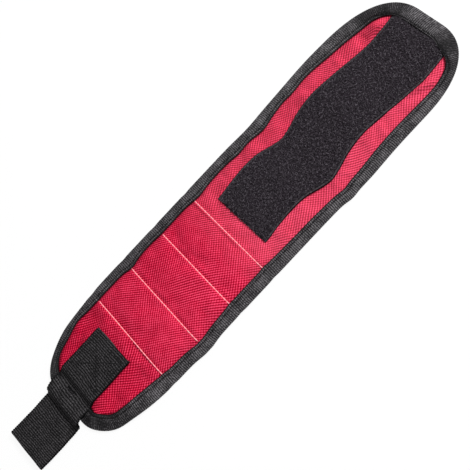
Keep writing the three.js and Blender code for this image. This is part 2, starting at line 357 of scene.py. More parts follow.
def add(
    tree: bpy.types.NodeTree,
    kind: str,
    inputs: dict | None = None,
    stops: Sequence[tuple[float, str]] = (),
    **settings: object,
) -> bpy.types.Node:
    """Adds a node with its settings and links.

    Args:
        tree: the node tree.
        kind: the node's type.
        inputs: for each input, by name or number, a value, an output, or a node whose first output is meant.
        stops: the places and hex colours of a colour ramp.
        settings: the node's own settings.

    Returns:
        The new node.
    """
    node = tree.nodes.new(kind)
    for name, value in settings.items():
        setattr(node, name, value)
    for number, (place, colour) in enumerate(stops):
        if number == len(node.color_ramp.elements):
            node.color_ramp.elements.new(1.0)
        node.color_ramp.elements[number].position = place
        node.color_ramp.elements[number].color = linear(colour)
    for key, value in (inputs or {}).items():
        source = value.outputs[0] if isinstance(value, bpy.types.Node) else value
        if isinstance(source, bpy.types.NodeSocket):
            tree.links.new(source, node.inputs[key])
        else:
            node.inputs[key].default_value = source
    return node


def new_material(name: str) -> tuple[bpy.types.Material, bpy.types.NodeTree]:
    """An empty node material.

    Args:
        name: the material's name.

    Returns:
        The material and its node tree.
    """
    material = bpy.data.materials.new(name)
    material.use_nodes = True
    material.node_tree.nodes.clear()
    return material, material.node_tree


def cloth_mm(tree: bpy.types.NodeTree) -> tuple[bpy.types.NodeSocket, ...]:
    """The cloth's own millimetres from its UV map: the vector, along and across.

    Args:
        tree: the node tree.

    Returns:
        The three outputs.
    """
    place = add(tree, "ShaderNodeUVMap", uv_map="UVMap").outputs["UV"]
    parts = add(tree, "ShaderNodeSeparateXYZ", {0: place})
    return place, parts.outputs["X"], parts.outputs["Y"]


def object_mm(tree: bpy.types.NodeTree) -> bpy.types.Node:
    """Object coordinates in millimetres."""
    place = add(tree, "ShaderNodeTexCoord").outputs["Object"]
    return add(tree, "ShaderNodeVectorMath", {0: place, "Scale": 1.0 / MM}, operation="SCALE")


def ranged(value: bpy.types.Node | bpy.types.NodeSocket, limits: Limits) -> dict:
    """Inputs for a range: the value, where the range starts and ends, and what those two become."""
    return {"Value": value, 1: limits[0], 2: limits[1], 3: limits[2], 4: limits[3]}


# Finishes


@dataclass(frozen=True)
class WovenPolyester:
    """Coarse textured polyester in a plain weave: a matt crimson with pale thread crowns and dark gaps.

    The threads are drawn about twice as coarse as real ones, or they would be too fine to show.
    """

    name: str = "woven_polyester"
    gap: str = "#79031a"
    thread: str = "#c8163a"
    crown: str = "#fb5176"
    # The pale colour of the painted sheen on the free half.
    painted_sheen: str = "#ffc4d8"
    warp_pitch: float = 1.14
    weft_pitch: float = 0.86
    yarn: float = 0.8
    blotch: float = 6.0
    tension: float = 24.0
    base_tone: float = 0.1
    crown_share: float = 0.44
    yarn_share: float = 0.8
    blotch_share: float = 0.3
    diagonal_range: Limits = (0.4, 0.6, 0.26, 0.66)
    # Ranges of the painted shade by the strap and on the far side, and of the painted pale sheen on the free
    # half.
    tab_shade_range: Limits = (-100.0, -76.0, -0.275, -0.155)
    sheen_along_range: Limits = (-16.0, 10.0, 0.0, 1.0)
    far_shade_along_range: Limits = (-84.0, 20.0, 0.55, 1.0)
    far_shade_range: Limits = (-20.0, 20.0, 0.03, -0.07)
    sheen_across_range: Limits = (20.0, -20.0, 0.034, 0.045)
    gloss: float = 0.02
    roughness: float = 0.8

    def material(self) -> bpy.types.Material:
        """Crossing threads on the cloth's UV map, with painted shade by the strap and on the far side, and a
        painted pale sheen over the free half.

        Returns:
            The material.
        """
        material, tree = new_material(self.name)
        place, along, across = cloth_mm(tree)
        warp = add(tree, MATH, {0: along, 1: math.pi / self.warp_pitch}, operation="MULTIPLY")
        weft = add(tree, MATH, {0: across, 1: math.pi / self.weft_pitch}, operation="MULTIPLY")
        both = add(tree, MATH, {0: warp, 1: weft}, operation="ADD")
        apart = add(tree, MATH, {0: warp, 1: weft}, operation="SUBTRACT")
        leaning = add(tree, MATH, {0: both}, operation="COSINE")
        crossing = add(tree, MATH, {0: apart}, operation="COSINE")
        # Which diagonal of crowns stands out changes slowly with the cloth's tension.
        tension = add(tree, NOISE, {"Vector": place, "Scale": 1.0 / self.tension, "Detail": 0.0})
        share = add(tree, RANGE, ranged(tension, self.diagonal_range))
        crowns = add(tree, MIX, {0: share, 2: leaning, 3: crossing})
        yarn = add(tree, NOISE, {"Vector": place, "Scale": 1.0 / self.yarn, "Detail": 3.0})
        blotch = add(tree, NOISE, {"Vector": place, "Scale": 1.0 / self.blotch, "Detail": 2.0})
        terms = {0: crowns, 1: self.crown_share, 2: self.base_tone}
        height = add(tree, MATH, terms, operation="MULTIPLY_ADD")
        height = add(tree, MATH, {0: yarn, 1: self.yarn_share, 2: height}, operation="MULTIPLY_ADD")
        tone = add(tree, MATH, {0: blotch, 1: self.blotch_share, 2: height}, operation="MULTIPLY_ADD")
        # The whole panel is toned a little darker, and painted shade darkens the cloth by the strap more.
        slack = add(tree, RANGE, ranged(along, self.tab_shade_range))
        tone = add(tree, MATH, {0: tone, 1: slack}, operation="ADD")
        # Painted shade darkens the far side and paints the near side a little lighter, more towards the tip.
        # A painted pale sheen lightens the free half, a little more on its near side.
        sheen_along = add(tree, RANGE, ranged(along, self.sheen_along_range))
        far_shade_along = add(tree, RANGE, ranged(along, self.far_shade_along_range))
        far = add(tree, RANGE, ranged(across, self.far_shade_range))
        tone = add(tree, MATH, {0: far, 1: far_shade_along, 2: tone}, operation="MULTIPLY_ADD")
        colour = add(tree, RAMP, {"Fac": tone}, ((0.05, self.gap), (0.5, self.thread), (0.95, self.crown)))
        # A painted pale sheen over the free half, a little stronger on its near side.
        near = add(tree, RANGE, ranged(across, self.sheen_across_range))
        sheened = add(tree, MATH, {0: near, 1: sheen_along}, operation="MULTIPLY")
        layers = {0: sheened, 6: colour, 7: linear(self.painted_sheen)}
        colour = add(tree, MIX, layers, data_type="RGBA").outputs["Result"]
        bump = add(tree, BUMP, {"Height": height, "Strength": 0.5, "Distance": 0.25 * MM})
        look = {"Base Color": colour, "Roughness": self.roughness, SPECULAR: self.gloss, "Normal": bump}
        add(tree, SURFACE, {"Surface": add(tree, PRINCIPLED, look)})
        return material


@dataclass(frozen=True)
class RibbedTape:
    """Woven polyester tape with ribs across it: dull charcoal crowns with black between them."""

    name: str
    rib_pitch: float
    gap: str
    rib: str
    crown: str
    width: float
    stray: float = 0.5
    stray_length: float = 4.0
    yarn: float = 0.75
    yarn_share: float = 1.5
    wear: float = 7.0
    blotch: float = 0.6
    base_tone: float = -0.22
    rib_share: float = 0.5
    rib_mean: float = 0.64
    # How much darker the tape is where marked: drawn taut at the tip's corners, painted shade round the tab
    # end.
    taut_and_shade: float = 0.0
    # The painted shadow along both edges: its width, its darkest tone, and how far in from the edge it is
    # darkest.
    selvedge: float = 0.9
    edge_shadow_tone: float = 0.25
    cut_edge: float = 0.2
    # Depth of the painted shade along the stitch groove, and where the groove runs.
    groove_shade: float = 0.0
    stitch_inset: float = 2.2
    stitch_reach: float = 0.45
    gloss: float = 0.06
    roughness: float = 0.62

    def material(self) -> bpy.types.Material:
        """Ribs along the tape's UV map that stray a little, with painted shadow along both edges and painted
        shade where marked and along the stitch groove.

        Returns:
            The material.
        """
        material, tree = new_material(self.name)
        place, along, across = cloth_mm(tree)
        stray = add(tree, NOISE, {"Vector": place, "Scale": 1.0 / self.stray_length, "Detail": 1.0})
        along = add(tree, MATH, {0: stray, 1: self.stray, 2: along}, operation="MULTIPLY_ADD")
        turn = add(tree, MATH, {0: along, 1: math.pi / self.rib_pitch}, operation="MULTIPLY")
        swing = add(tree, MATH, {0: turn}, operation="SINE")
        rib = add(tree, MATH, {0: swing}, operation="ABSOLUTE")
        yarn = add(tree, NOISE, {"Vector": place, "Scale": 1.0 / self.yarn, "Detail": 3.0})
        wear = add(tree, NOISE, {"Vector": place, "Scale": 1.0 / self.wear, "Detail": 2.0})
        level = self.base_tone - self.rib_mean * self.rib_share
        height = add(tree, MATH, {0: rib, 1: self.rib_share, 2: level}, operation="MULTIPLY_ADD")
        height = add(tree, MATH, {0: yarn, 1: self.yarn_share, 2: height}, operation="MULTIPLY_ADD")
        tone = add(tree, MATH, {0: wear, 1: self.blotch, 2: -0.5 * self.blotch}, operation="MULTIPLY_ADD")
        tone = add(tree, MATH, {0: tone, 1: height}, operation="ADD")
        aside = add(tree, MATH, {0: across}, operation="ABSOLUTE")
        half = self.width / 2.0
        # Painted shadow darkens a band along both edges of the tape.
        edge_shadow_range = (half - self.selvedge, half - self.cut_edge, 1.0, self.edge_shadow_tone)
        edge_shadow = add(tree, RANGE, ranged(aside, edge_shadow_range))
        tone = add(tree, MATH, {0: tone, 1: edge_shadow}, operation="MULTIPLY")
        # Where the tape is marked it is darker: at the tip's corners it is drawn taut and more black shows
        # between its ribs; round the tab end the darkening is painted shade.
        drawn = add(tree, "ShaderNodeAttribute", attribute_name=TAUT_AND_SHADED).outputs["Fac"]
        tone = add(tree, MATH, {0: drawn, 1: -self.taut_and_shade, 2: tone}, operation="MULTIPLY_ADD")
        # The row of stitches pulls the tape into a groove, and painted shade darkens a line along it beside
        # the edge.
        row = {0: aside, 1: half - self.stitch_inset, 2: self.stitch_reach}
        on_groove = add(tree, MATH, row, operation="COMPARE")
        tone = add(tree, MATH, {0: on_groove, 1: -self.groove_shade, 2: tone}, operation="MULTIPLY_ADD")
        colour = add(tree, RAMP, {"Fac": tone}, ((0.1, self.gap), (0.5, self.rib), (0.95, self.crown)))
        bump = add(tree, BUMP, {"Height": height, "Strength": 0.45, "Distance": 0.2 * MM})
        look = {"Base Color": colour, "Roughness": self.roughness, SPECULAR: self.gloss, "Normal": bump}
        add(tree, SURFACE, {"Surface": add(tree, PRINCIPLED, look)})
        return material


GROSGRAIN = RibbedTape(
    name="grosgrain_tape",
    rib_pitch=1.25,
    gap="#080809",
    rib="#323032",
    crown="#767376",
    width=18.0,
    groove_shade=0.12,
    taut_and_shade=0.25,
)
WEBBING = RibbedTape(
    name="polyester_webbing",
    rib_pitch=1.4,
    gap="#050506",
    rib="#1b1a1b",
    crown="#535153",
    width=30.0,
    blotch=0.25,
    gloss=0.02,
)


@dataclass(frozen=True)
class LoopGround:
    """The knitted ground of loop tape: soft black between the loops, with a greyer woven hem."""

    name: str = "loop_ground"
    deep: str = "#0b090c"
    knit: str = "#1e191e"
    tip: str = "#39343a"
    hem: str = "#4a474a"
    hem_start: float = 19.0
    hem_fade: float = 0.25
    cut_edge: float = 19.9
    knit_size: float = 0.9
    gloss: float = 0.08
    roughness: float = 0.9

    def material(self) -> bpy.types.Material:
        """Mottled knit on the patch's UV map, with a hem and a black cut edge along both long sides.

        Returns:
            The material.
        """
        material, tree = new_material(self.name)
        place, _along, across = cloth_mm(tree)
        knit = add(tree, NOISE, {"Vector": place, "Scale": 1.0 / self.knit_size, "Detail": 3.0})
        pile = add(tree, RAMP, {"Fac": knit}, ((0.3, self.deep), (0.5, self.knit), (0.72, self.tip)))
        aside = add(tree, MATH, {0: across}, operation="ABSOLUTE")
        edge = add(tree, RANGE, ranged(aside, (self.hem_start, self.hem_start + self.hem_fade, 0.0, 1.0)))
        hem = add(tree, RAMP, {"Fac": knit}, ((0.3, self.knit), (0.6, self.hem)))
        colour = add(tree, MIX, {0: edge, 6: pile, 7: hem}, data_type="RGBA").outputs["Result"]
        cut = add(tree, MATH, {0: aside, 1: self.cut_edge}, operation="GREATER_THAN")
        layers = {0: cut, 6: colour, 7: linear(self.deep)}
        colour = add(tree, MIX, layers, data_type="RGBA").outputs["Result"]
        bump = add(tree, BUMP, {"Height": knit, "Strength": 0.7, "Distance": 0.4 * MM})
        look = {"Base Color": colour, "Roughness": self.roughness, SPECULAR: self.gloss, "Normal": bump}
        add(tree, SURFACE, {"Surface": add(tree, PRINCIPLED, look)})
        return material


@dataclass(frozen=True)
class LoopYarn:
    """Textured nylon yarn in raised loops: dull black that greys where the loops bend over."""

    name: str = "loop_yarn"
    dark: str = "#1d181d"
    pale: str = "#565057"
    mottle: float = 1.3
    gloss: float = 0.15
    roughness: float = 0.75

    def material(self) -> bpy.types.Material:
        """Each loop takes its own shade from Object coordinates.

        Returns:
            The material.
        """
        material, tree = new_material(self.name)
        shade = add(tree, NOISE, {"Vector": object_mm(tree), "Scale": 1.0 / self.mottle, "Detail": 1.0})
        colour = add(tree, RAMP, {"Fac": shade}, ((0.36, self.dark), (0.66, self.pale)))
        sheen = {"Sheen Weight": 0.05, "Sheen Roughness": 0.6}
        look = {"Base Color": colour, "Roughness": self.roughness, SPECULAR: self.gloss, **sheen}
        add(tree, SURFACE, {"Surface": add(tree, PRINCIPLED, look)})
        return material


@dataclass(frozen=True)
class SpacerMesh:
    """Knitted spacer mesh: black cloth with rows of small open holes, slightly glossy on its ribs."""

    name: str = "spacer_mesh"
    hole: str = "#060607"
    knit: str = "#29292b"
    hole_pitch: float = 2.4
    yarn: float = 0.5
    yarn_share: float = 0.3
    roughness: float = 0.65

    def material(self) -> bpy.types.Material:
        """Holes in staggered rows on the cloth's UV map.

        Returns:
            The material.
        """
        material, tree = new_material(self.name)
        place, along, across = cloth_mm(tree)
        warp = add(tree, MATH, {0: along, 1: math.pi / self.hole_pitch}, operation="MULTIPLY")
        weft = add(tree, MATH, {0: across, 1: math.pi / self.hole_pitch}, operation="MULTIPLY")
        columns = add(tree, MATH, {0: warp}, operation="SINE")
        rows = add(tree, MATH, {0: weft}, operation="SINE")
        holes = add(tree, MATH, {0: columns, 1: rows}, operation="MULTIPLY")
        openness = add(tree, MATH, {0: holes}, operation="ABSOLUTE")
        yarn = add(tree, NOISE, {"Vector": place, "Scale": 1.0 / self.yarn, "Detail": 2.0})
        terms = {0: yarn, 1: self.yarn_share, 2: -0.5 * self.yarn_share}
        tone = add(tree, MATH, terms, operation="MULTIPLY_ADD")
        tone = add(tree, MATH, {0: tone, 1: openness}, operation="ADD")
        colour = add(tree, RAMP, {"Fac": tone}, ((0.35, self.knit), (0.75, self.hole)))
        height = add(tree, MATH, {0: 1.0, 1: tone}, operation="SUBTRACT")
        bump = add(tree, BUMP, {"Height": height, "Strength": 0.8, "Distance": 0.5 * MM})
        look = {"Base Color": colour, "Roughness": self.roughness, "Normal": bump}
        add(tree, SURFACE, {"Surface": add(tree, PRINCIPLED, look)})
        return material


@dataclass(frozen=True)
class SewingThread:
    """Twisted polyester thread: smooth plies with a soft gloss."""

    name: str
    ply: str
    shade: str
    gloss: float = 0.4
    ply_pitch: float = 0.6
    roughness: float = 0.5

    def material(self) -> bpy.types.Material:
        """Fine plies on Object coordinates.

        Returns:
            The material.
        """
        material, tree = new_material(self.name)
        plies = add(tree, NOISE, {"Vector": object_mm(tree), "Scale": 1.0 / self.ply_pitch, "Detail": 2.0})
        colour = add(tree, RAMP, {"Fac": plies}, ((0.3, self.shade), (0.6, self.ply)))
        bump = add(tree, BUMP, {"Height": plies, "Strength": 0.3, "Distance": 0.1 * MM})
        look = {"Base Color": colour, "Roughness": self.roughness, SPECULAR: self.gloss, "Normal": bump}
        add(tree, SURFACE, {"Surface": add(tree, PRINCIPLED, look)})
        return material


BLACK_THREAD = SewingThread(name="black_thread", ply="#1e1d1e", shade="#0c0c0d", gloss=0.06)
PALE_THREAD = SewingThread(name="pale_thread", ply="#ff9fa8", shade="#ff8896")


@dataclass(frozen=True)
class NylonHook:
    """Moulded nylon hook tape: smooth black plastic with a waxy gloss."""

    name: str = "nylon_hook"
    body: str = "#161617"
    rub: str = "#2a2a2c"
    rub_size: float = 2.5
    roughness: float = 0.42

    def material(self) -> bpy.types.Material:
        """Rubbed patches on Object coordinates.

        Returns:
            The material.
        """
        material, tree = new_material(self.name)
        rub = add(tree, NOISE, {"Vector": object_mm(tree), "Scale": 1.0 / self.rub_size, "Detail": 3.0})
        colour = add(tree, RAMP, {"Fac": rub}, ((0.35, self.body), (0.7, self.rub)))
        bump = add(tree, BUMP, {"Height": rub, "Strength": 0.15, "Distance": 0.1 * MM})
        look = {"Base Color": colour, "Roughness": self.roughness, "Normal": bump}
        add(tree, SURFACE, {"Surface": add(tree, PRINCIPLED, look)})
        return material


@dataclass(frozen=True)
class NickelPlate:
    """Nickel plate on a pressed magnet: bright grey metal with faint handling marks."""

    name: str = "nickel_plate"
    plate: str = "#b9b4aa"
    dull: str = "#8f8b84"
    mark_size: float = 1.8
    least_roughness: float = 0.2
    marked_roughness: float = 0.2

    def material(self) -> bpy.types.Material:
        """Dull patches on Object coordinates change the colour and the gloss.

        Returns:
            The material.
        """
        material, tree = new_material(self.name)
        marks = add(tree, NOISE, {"Vector": object_mm(tree), "Scale": 1.0 / self.mark_size, "Detail": 4.0})
        colour = add(tree, RAMP, {"Fac": marks}, ((0.35, self.dull), (0.65, self.plate)))
        terms = {0: marks, 1: self.marked_roughness, 2: self.least_roughness}
        roughness = add(tree, MATH, terms, operation="MULTIPLY_ADD")
        look = {"Base Color": colour, "Metallic": 1.0, "Roughness": roughness}
        add(tree, SURFACE, {"Surface": add(tree, PRINCIPLED, look)})
        return material


# The band's shape


@dataclass(frozen=True)
class Crease:
    """A crease in the panel: a line in x and y that is pressed in or stands up by rise."""

    x: float
    y: float
    end_x: float
    end_y: float
    rise: float
    reach: float
    fade: float = 0.6

    def lift(self, x: Array, y: Array) -> Array:
        """The rise at each place, fading with distance from the line.

        Args:
            x: places along the band.
            y: places across it.

        Returns:
            The rise in millimetres.
        """
        along = np.array([self.end_x - self.x, self.end_y - self.y])
        share = ((x - self.x) * along[0] + (y - self.y) * along[1]) / (along @ along)
        share = np.clip(share, 0.0, 1.0)
        away = np.hypot(x - self.x - share * along[0], y - self.y - share * along[1])
        return self.rise * np.exp(-((away / self.reach) ** 2)) * (1.0 - self.fade * share**2)


@dataclass(frozen=True)
class Band:
    """The band's outline, its folds and how its layers lie.

    A curve pairs places along the band with values. A bump has a middle, a reach and a rise.
    """

    # Outline and folds
    start: float = -136.5
    end: float = 172.5
    width: float = 77.0
    tab_flat: float = 24.0
    tab_round: float = 62.0
    tip_flat: float = 16.0
    tip_round: float = 48.0
    corner_power: float = 2.3
    seams: tuple[float, ...] = (-82.3, -54.8, -27.3, 0.2)
    loop_folds: tuple[float, ...] = (34.66, 69.12, 103.58, 138.04)
    segments: tuple[str, ...] = (
        "tab", "pocket_1", "pocket_2", "pocket_3", "loop_1", "loop_2", "loop_3", "loop_4", "loop_5",
    )
    hinge_height: float = 2.15
    seam_bend: float = 7.0
    loop_bend: float = 12.0
    tab_cut: float = 2.5
    tip_cut: float = 3.0
    drawn_start: float = -106.0
    drawn_length: float = 18.0
    # How the panel rises over the pockets and the tab
    panel_height: float = 3.1
    seam_lean: float = 0.022
    base_rise: Curve = (
        (-136.5, 0.0), (-92.0, 0.0), (-86.0, 0.5), (-82.3, 0.7), (-78.0, 0.7), (-60.0, 0.7), (-20.0, 0.7),
        (-4.0, 0.7), (-1.0, 0.75), (0.2, 1.3), (2.0, 1.22), (5.0, 1.0), (12.0, 0.6), (172.5, 0.6),
    )
    pocket_bows: tuple[Curve, ...] = (
        (
            (0.0, 0.0), (0.05, 0.5), (0.12, 0.84), (0.2, 1.1), (0.3, 1.36), (0.4, 1.5), (0.55, 1.59),
            (0.7, 1.62), (0.8, 1.58), (0.9, 1.48), (0.95, 1.42), (0.975, 1.33), (0.988, 0.9), (1.0, 0.5),
        ),
        (
            (0.0, 0.5), (0.03, 0.58), (0.05, 0.72), (0.1, 1.02), (0.15, 1.06), (0.2, 1.12), (0.25, 1.27),
            (0.3, 1.47), (0.4, 1.87), (0.5, 2.1), (0.6, 2.2), (0.7, 2.24), (0.8, 2.22), (0.9, 2.13),
            (0.95, 2.06), (0.975, 1.93), (0.988, 1.3), (1.0, 0.75),
        ),
        (
            (0.0, 0.75), (0.03, 0.82), (0.05, 0.94), (0.1, 1.16), (0.15, 1.15), (0.2, 1.21), (0.27, 1.38),
            (0.35, 1.49), (0.5, 1.6), (0.65, 1.63), (0.8, 1.56), (0.9, 1.43), (0.95, 1.35), (0.975, 1.22),
            (0.988, 0.6), (1.0, 0.0),
        ),
    )
    field_half_width: float = 31.0
    pocket_power: int = 6
    tab_rise: Curve = (
        (-136.5, 0.2), (-128.0, 0.5), (-122.0, 1.9), (-112.0, 1.9), (-100.0, 1.7), (-90.0, 1.1),
        (-82.3, 0.0),
    )
    tab_pad_middle: float = 2.9
    tab_pad_half: float = 20.0
    tab_pad_fade: float = 6.0
    tab_pad_beside: float = 0.25
    tab_rim: float = 2.2
    rim_start: tuple[float, float] = (-92.0, -13.5)
    rim_length: tuple[float, float] = (14.0, 4.0)
    rim_inset: float = 0.6
    rim_reach: float = 3.0
    rim_hold: float = 1.6
    tab_lift: float = 1.1
    lift_start: tuple[float, float] = (-91.5, -6.0)
    lift_length: tuple[float, float] = (8.5, 10.0)
    seam_step: float = 0.8
    # The bare strips beside the loop patch, and the cloth under the tape
    strip_drop: float = 0.3
    strip_start: float = 20.3
    strip_from: float = 1.0
    strip_length: float = 10.0
    tape_hold: float = 2.0
    tape_slope: float = 4.5
    tucked_height: float = 2.4
    tucked_drop: float = 0.9
    tucked_give: float = 0.2
    # How the band was laid down: the patch's wave, the tape's reach and the edges' sway
    patch_wave: Curve = (
        (11.3, -0.8), (24.0, 0.4), (37.0, 1.0), (47.0, 0.2), (55.0, -2.2), (62.5, -3.9), (70.0, -2.8),
        (80.0, -0.3), (91.0, 1.0), (110.0, -0.2), (125.0, -2.0), (138.0, -3.3), (150.0, -3.0),
        (162.0, -2.0), (172.0, -1.0),
    )
    far_leg: Curve = (
        (-136.5, 8.6), (-124.0, 6.1), (-110.0, 6.4), (-99.0, 5.1), (-88.0, 6.8), (-70.0, 7.4),
        (-59.0, 7.8), (-52.5, 9.0), (-46.0, 7.9), (-20.0, 8.1), (-2.0, 8.3), (5.5, 9.2), (14.0, 8.2),
        (32.0, 8.1), (40.0, 8.8), (50.0, 7.9), (61.0, 9.3), (69.0, 8.3), (80.0, 7.6), (88.0, 8.2),
        (98.0, 7.9), (122.0, 10.0), (146.0, 10.4), (158.0, 9.0), (166.0, 9.4), (170.0, 10.3),
        (172.5, 10.9),
    )
    near_leg: Curve = (
        (-136.5, 9.9), (-130.0, 9.4), (-124.0, 8.5), (-117.0, 7.9), (-110.0, 8.1), (-99.0, 9.2),
        (-88.0, 8.9), (-78.0, 7.8), (-68.0, 7.5), (-40.0, 7.3), (-29.0, 7.9), (30.0, 7.4), (63.0, 6.9),
        (90.0, 7.9), (130.0, 7.4), (148.0, 6.2), (158.0, 6.5), (166.0, 10.0), (170.0, 11.2), (172.5, 10.9),
    )
    leg_change: float = 8.0
    far_sway: Bumps = ((108.0, 26.0, 1.5), (54.0, 12.0, -0.8), (-94.0, 14.0, -0.7))
    near_sway: Bumps = (
        (-54.8, 8.0, 1.4), (63.0, 5.0, 0.9), (76.0, 18.0, 1.1), (-125.0, 9.0, 1.4),
    )
    pull: float = 0.25
    pull_reach: float = 2.6
    lie: Curve = (
        (0.2, 0.0), (20.0, 0.2), (37.0, 0.6), (62.7, -0.7), (95.0, 0.6), (138.0, -0.7), (160.0, 0.1),
    )
    creases: tuple[Crease, ...] = (
        Crease(66.0, -23.0, 58.0, -31.0, 0.9, 2.0),
        Crease(68.0, -23.0, 74.0, -31.0, 0.8, 2.2),
        Crease(104.0, -24.0, 100.0, -30.0, 0.8, 2.4),
        Crease(122.0, -26.0, 152.0, -29.0, 1.1, 6.0),
        Crease(125.0, -24.0, 139.0, -30.4, -0.7, 1.4),
        Crease(128.5, -22.3, 142.0, -28.0, 2.7, 2.2),
        Crease(46.0, 23.0, 47.0, 31.0, 1.2, 6.0),
        Crease(57.0, 32.0, 60.0, 22.0, 0.3, 1.7),
        Crease(65.0, 32.0, 63.5, 22.0, 0.3, 1.7),
        Crease(75.0, 31.0, 71.0, 24.0, 0.25, 2.0),
        Crease(90.0, 24.0, 88.0, 31.0, 1.0, 4.0),
        Crease(118.0, 21.0, 120.0, 28.0, 0.7, 3.0),
        Crease(128.0, 24.0, 156.0, 21.0, 0.8, 6.0),
        Crease(138.0, 21.0, 138.5, 26.0, -1.9, 3.0),
        Crease(148.5, 19.0, 150.5, 25.0, 2.6, 5.0),
        Crease(-110.0, 20.0, -96.0, 28.0, -0.7, 2.4),
    )
    ripple: float = 0.1
    lie_at_sides: float = 0.5

    @property
    def folds(self) -> tuple[float, ...]:
        """All fold lines, from the strap's end to the tip."""
        return self.seams + self.loop_folds

    @property
    def bodies(self) -> tuple[str, ...]:
        """The body that carries each segment."""
        return ("tab_end",) + self.segments[1:]

    def half_width(self, x: Array) -> Array:
        """Half the outline's width, without its sway.

        Args:
            x: places along the band.

        Returns:
            The half width in millimetres.
        """
        half = np.full(np.shape(x), self.width / 2.0)
        for reach, flat, length in (
            (np.asarray(x) - self.start, self.tab_flat, self.tab_round),
            (self.end - np.asarray(x), self.tip_flat, self.tip_round),
        ):
            share = 1.0 - np.clip(reach / length, 0.0, 1.0)
            bow = (1.0 - share**self.corner_power) ** (1.0 / self.corner_power)
            half = np.minimum(half, flat / 2.0 + (self.width - flat) / 2.0 * bow)
        return half

    def sway(self, x: Array, side: float) -> Array:
        """How far the edge on one side stands out of its true line.

        Args:
            x: places along the band.
            side: 1 for the far edge, -1 for the near edge.

        Returns:
            The distance outwards.
        """
        bumps = self.far_sway if side > 0 else self.near_sway
        out = sum(rise * mound(x, middle, reach) for middle, reach, rise in bumps)
        return out - self.pull * sum(mound(x, seam, self.pull_reach) for seam in self.seams)

    def pocket_puff(self, x: Array, y: Array) -> Array:
        """How far a pocket stands above its seams.

        Args:
            x: places along the band.
            y: places across it.

        Returns:
            The height that a pocket adds.
        """
        puff = np.zeros(np.shape(x))
        for low, high, bow in zip(self.seams, self.seams[1:], self.pocket_bows):
            share = (x - self.seam_lean * y - low) / (high - low)
            inside = (share >= 0.0) & (share <= 1.0)
            puff = np.where(inside, np.maximum(puff, through(bow, share)), puff)
        side = np.clip(np.abs(y) / self.field_half_width, 0.0, 1.0)
        return puff * (1.0 - side**self.pocket_power)

    def lie_at(self, x: Array, y: Array) -> Array:
        """How far the lying band is lifted or sunk from level."""
        return through(self.lie, x) * (1.0 - self.lie_at_sides * (y / (self.width / 2.0)) ** 2)

    def ripples(self, x: Array, y: Array) -> Array:
        """Slight unevenness of sewn cloth; the wave lengths share no factor, so nothing repeats."""
        return self.ripple * (
            np.sin(x / 2.9 + 1.7 * np.sin(y / 7.1))
            + np.sin(y / 3.7 + 1.3 * np.sin(x / 8.3) + 0.6)
            + np.sin((x + 1.4 * y) / 5.3 + 2.1)
        )

    def inset(self, x: Array, y: Array) -> Array:
        """Distance in from the outline.

        Args:
            x: places along the band.
            y: places across it.

        Returns:
            The distance in millimetres, below 0 outside.
        """
        half = self.half_width(x)
        probe = 0.2
        slope = (self.half_width(x + probe) - self.half_width(x - probe)) / (2.0 * probe)
        ends = np.minimum(x - self.start, self.end - x)
        return np.minimum((half - np.abs(y)) / np.hypot(1.0, slope), ends)

    def leg_at(self, x: Array, y: Array) -> Array:
        """How far the edge tape reaches in over the panel."""
        far = eased(y / self.leg_change + 0.5)
        return through(self.near_leg, x) * (1.0 - far) + through(self.far_leg, x) * far

    def drawn_down(self, x: Array) -> Array:
        """1 at the strap's end, where the tape draws the edge down, fading to 0 along both sides."""
        return eased((self.drawn_start - x) / self.drawn_length)

    def panel_top(self, x: Array, y: Array) -> Array:
        """Height of the woven panel's outer face.

        Args:
            x: places along the band.
            y: places across it.

        Returns:
            The height in millimetres.
        """
        bare = self.inset(x, y) - self.leg_at(x, y)
        height = self.panel_height + through(self.base_rise, x) + self.pocket_puff(x, y) + self.lie_at(x, y)
        # The tab stands up under the strap, beside it and along its near rim.
        under_strap = eased((self.tab_pad_half - np.abs(y - self.tab_pad_middle)) / self.tab_pad_fade)
        raised = self.tab_pad_beside + (1.0 - self.tab_pad_beside) * under_strap
        height = height + through(self.tab_rise, x) * raised
        before_seam = eased((self.seams[0] + self.seam_lean * y - x) / self.seam_step)
        past_strap = eased((x - self.lift_start[0]) / self.lift_length[0])
        far_side = eased((y - self.lift_start[1]) / self.lift_length[1])
        height = height + self.tab_lift * past_strap * far_side * before_seam
        on_tab = eased((self.rim_start[0] - x) / self.rim_length[0])
        corner = on_tab * eased((self.rim_start[1] - y) / self.rim_length[1])
        height = height + self.tab_rim * mound(bare, self.rim_inset, self.rim_reach) * corner
        # Beside the loop patch the cloth sinks towards the tape.
        strip = np.abs(y - through(self.patch_wave, x)) - self.strip_start
        strip = np.clip(strip / np.maximum(strip + bare, 1.0), 0.0, 1.0)
        height = height - self.strip_drop * strip * eased((x - self.strip_from) / self.strip_length)
        open_cloth = eased(bare / 2.0 + 0.3) * np.where(x > self.patch_wave[0][0], eased(strip * 4.0), 1.0)
        height = height + sum(crease.lift(x, y) for crease in self.creases) * open_cloth
        height = height + self.ripples(x, y)
        # Under the tape the cloth is pressed down to its edge.
        hold = self.tape_hold + self.rim_hold * corner
        low = self.tucked_height - self.tucked_drop * self.drawn_down(x)
        pressed = low + (height - low) * eased((bare + hold) / self.tape_slope)
        return np.maximum(pressed, low - self.tucked_give)

    def cuts(self) -> list[tuple[str, float | None, float | None]]:
        """The stretches that each layer is cut into: a name and the planes at its two ends.

        Returns:
            One row for each stretch; an end that is not cut has None.
        """
        first = self.folds[0] - self.seam_bend - self.tab_cut
        last = self.folds[-1] + self.loop_bend + self.tip_cut
        middles = [(low + high) / 2.0 for low, high in zip(self.folds, self.folds[1:])]
        planes = [None, first, *middles, last, None]
        names = ["tab", *(f"fold_{n + 1}" for n in range(len(self.folds))), "tip"]
        return list(zip(names, planes, planes[1:]))

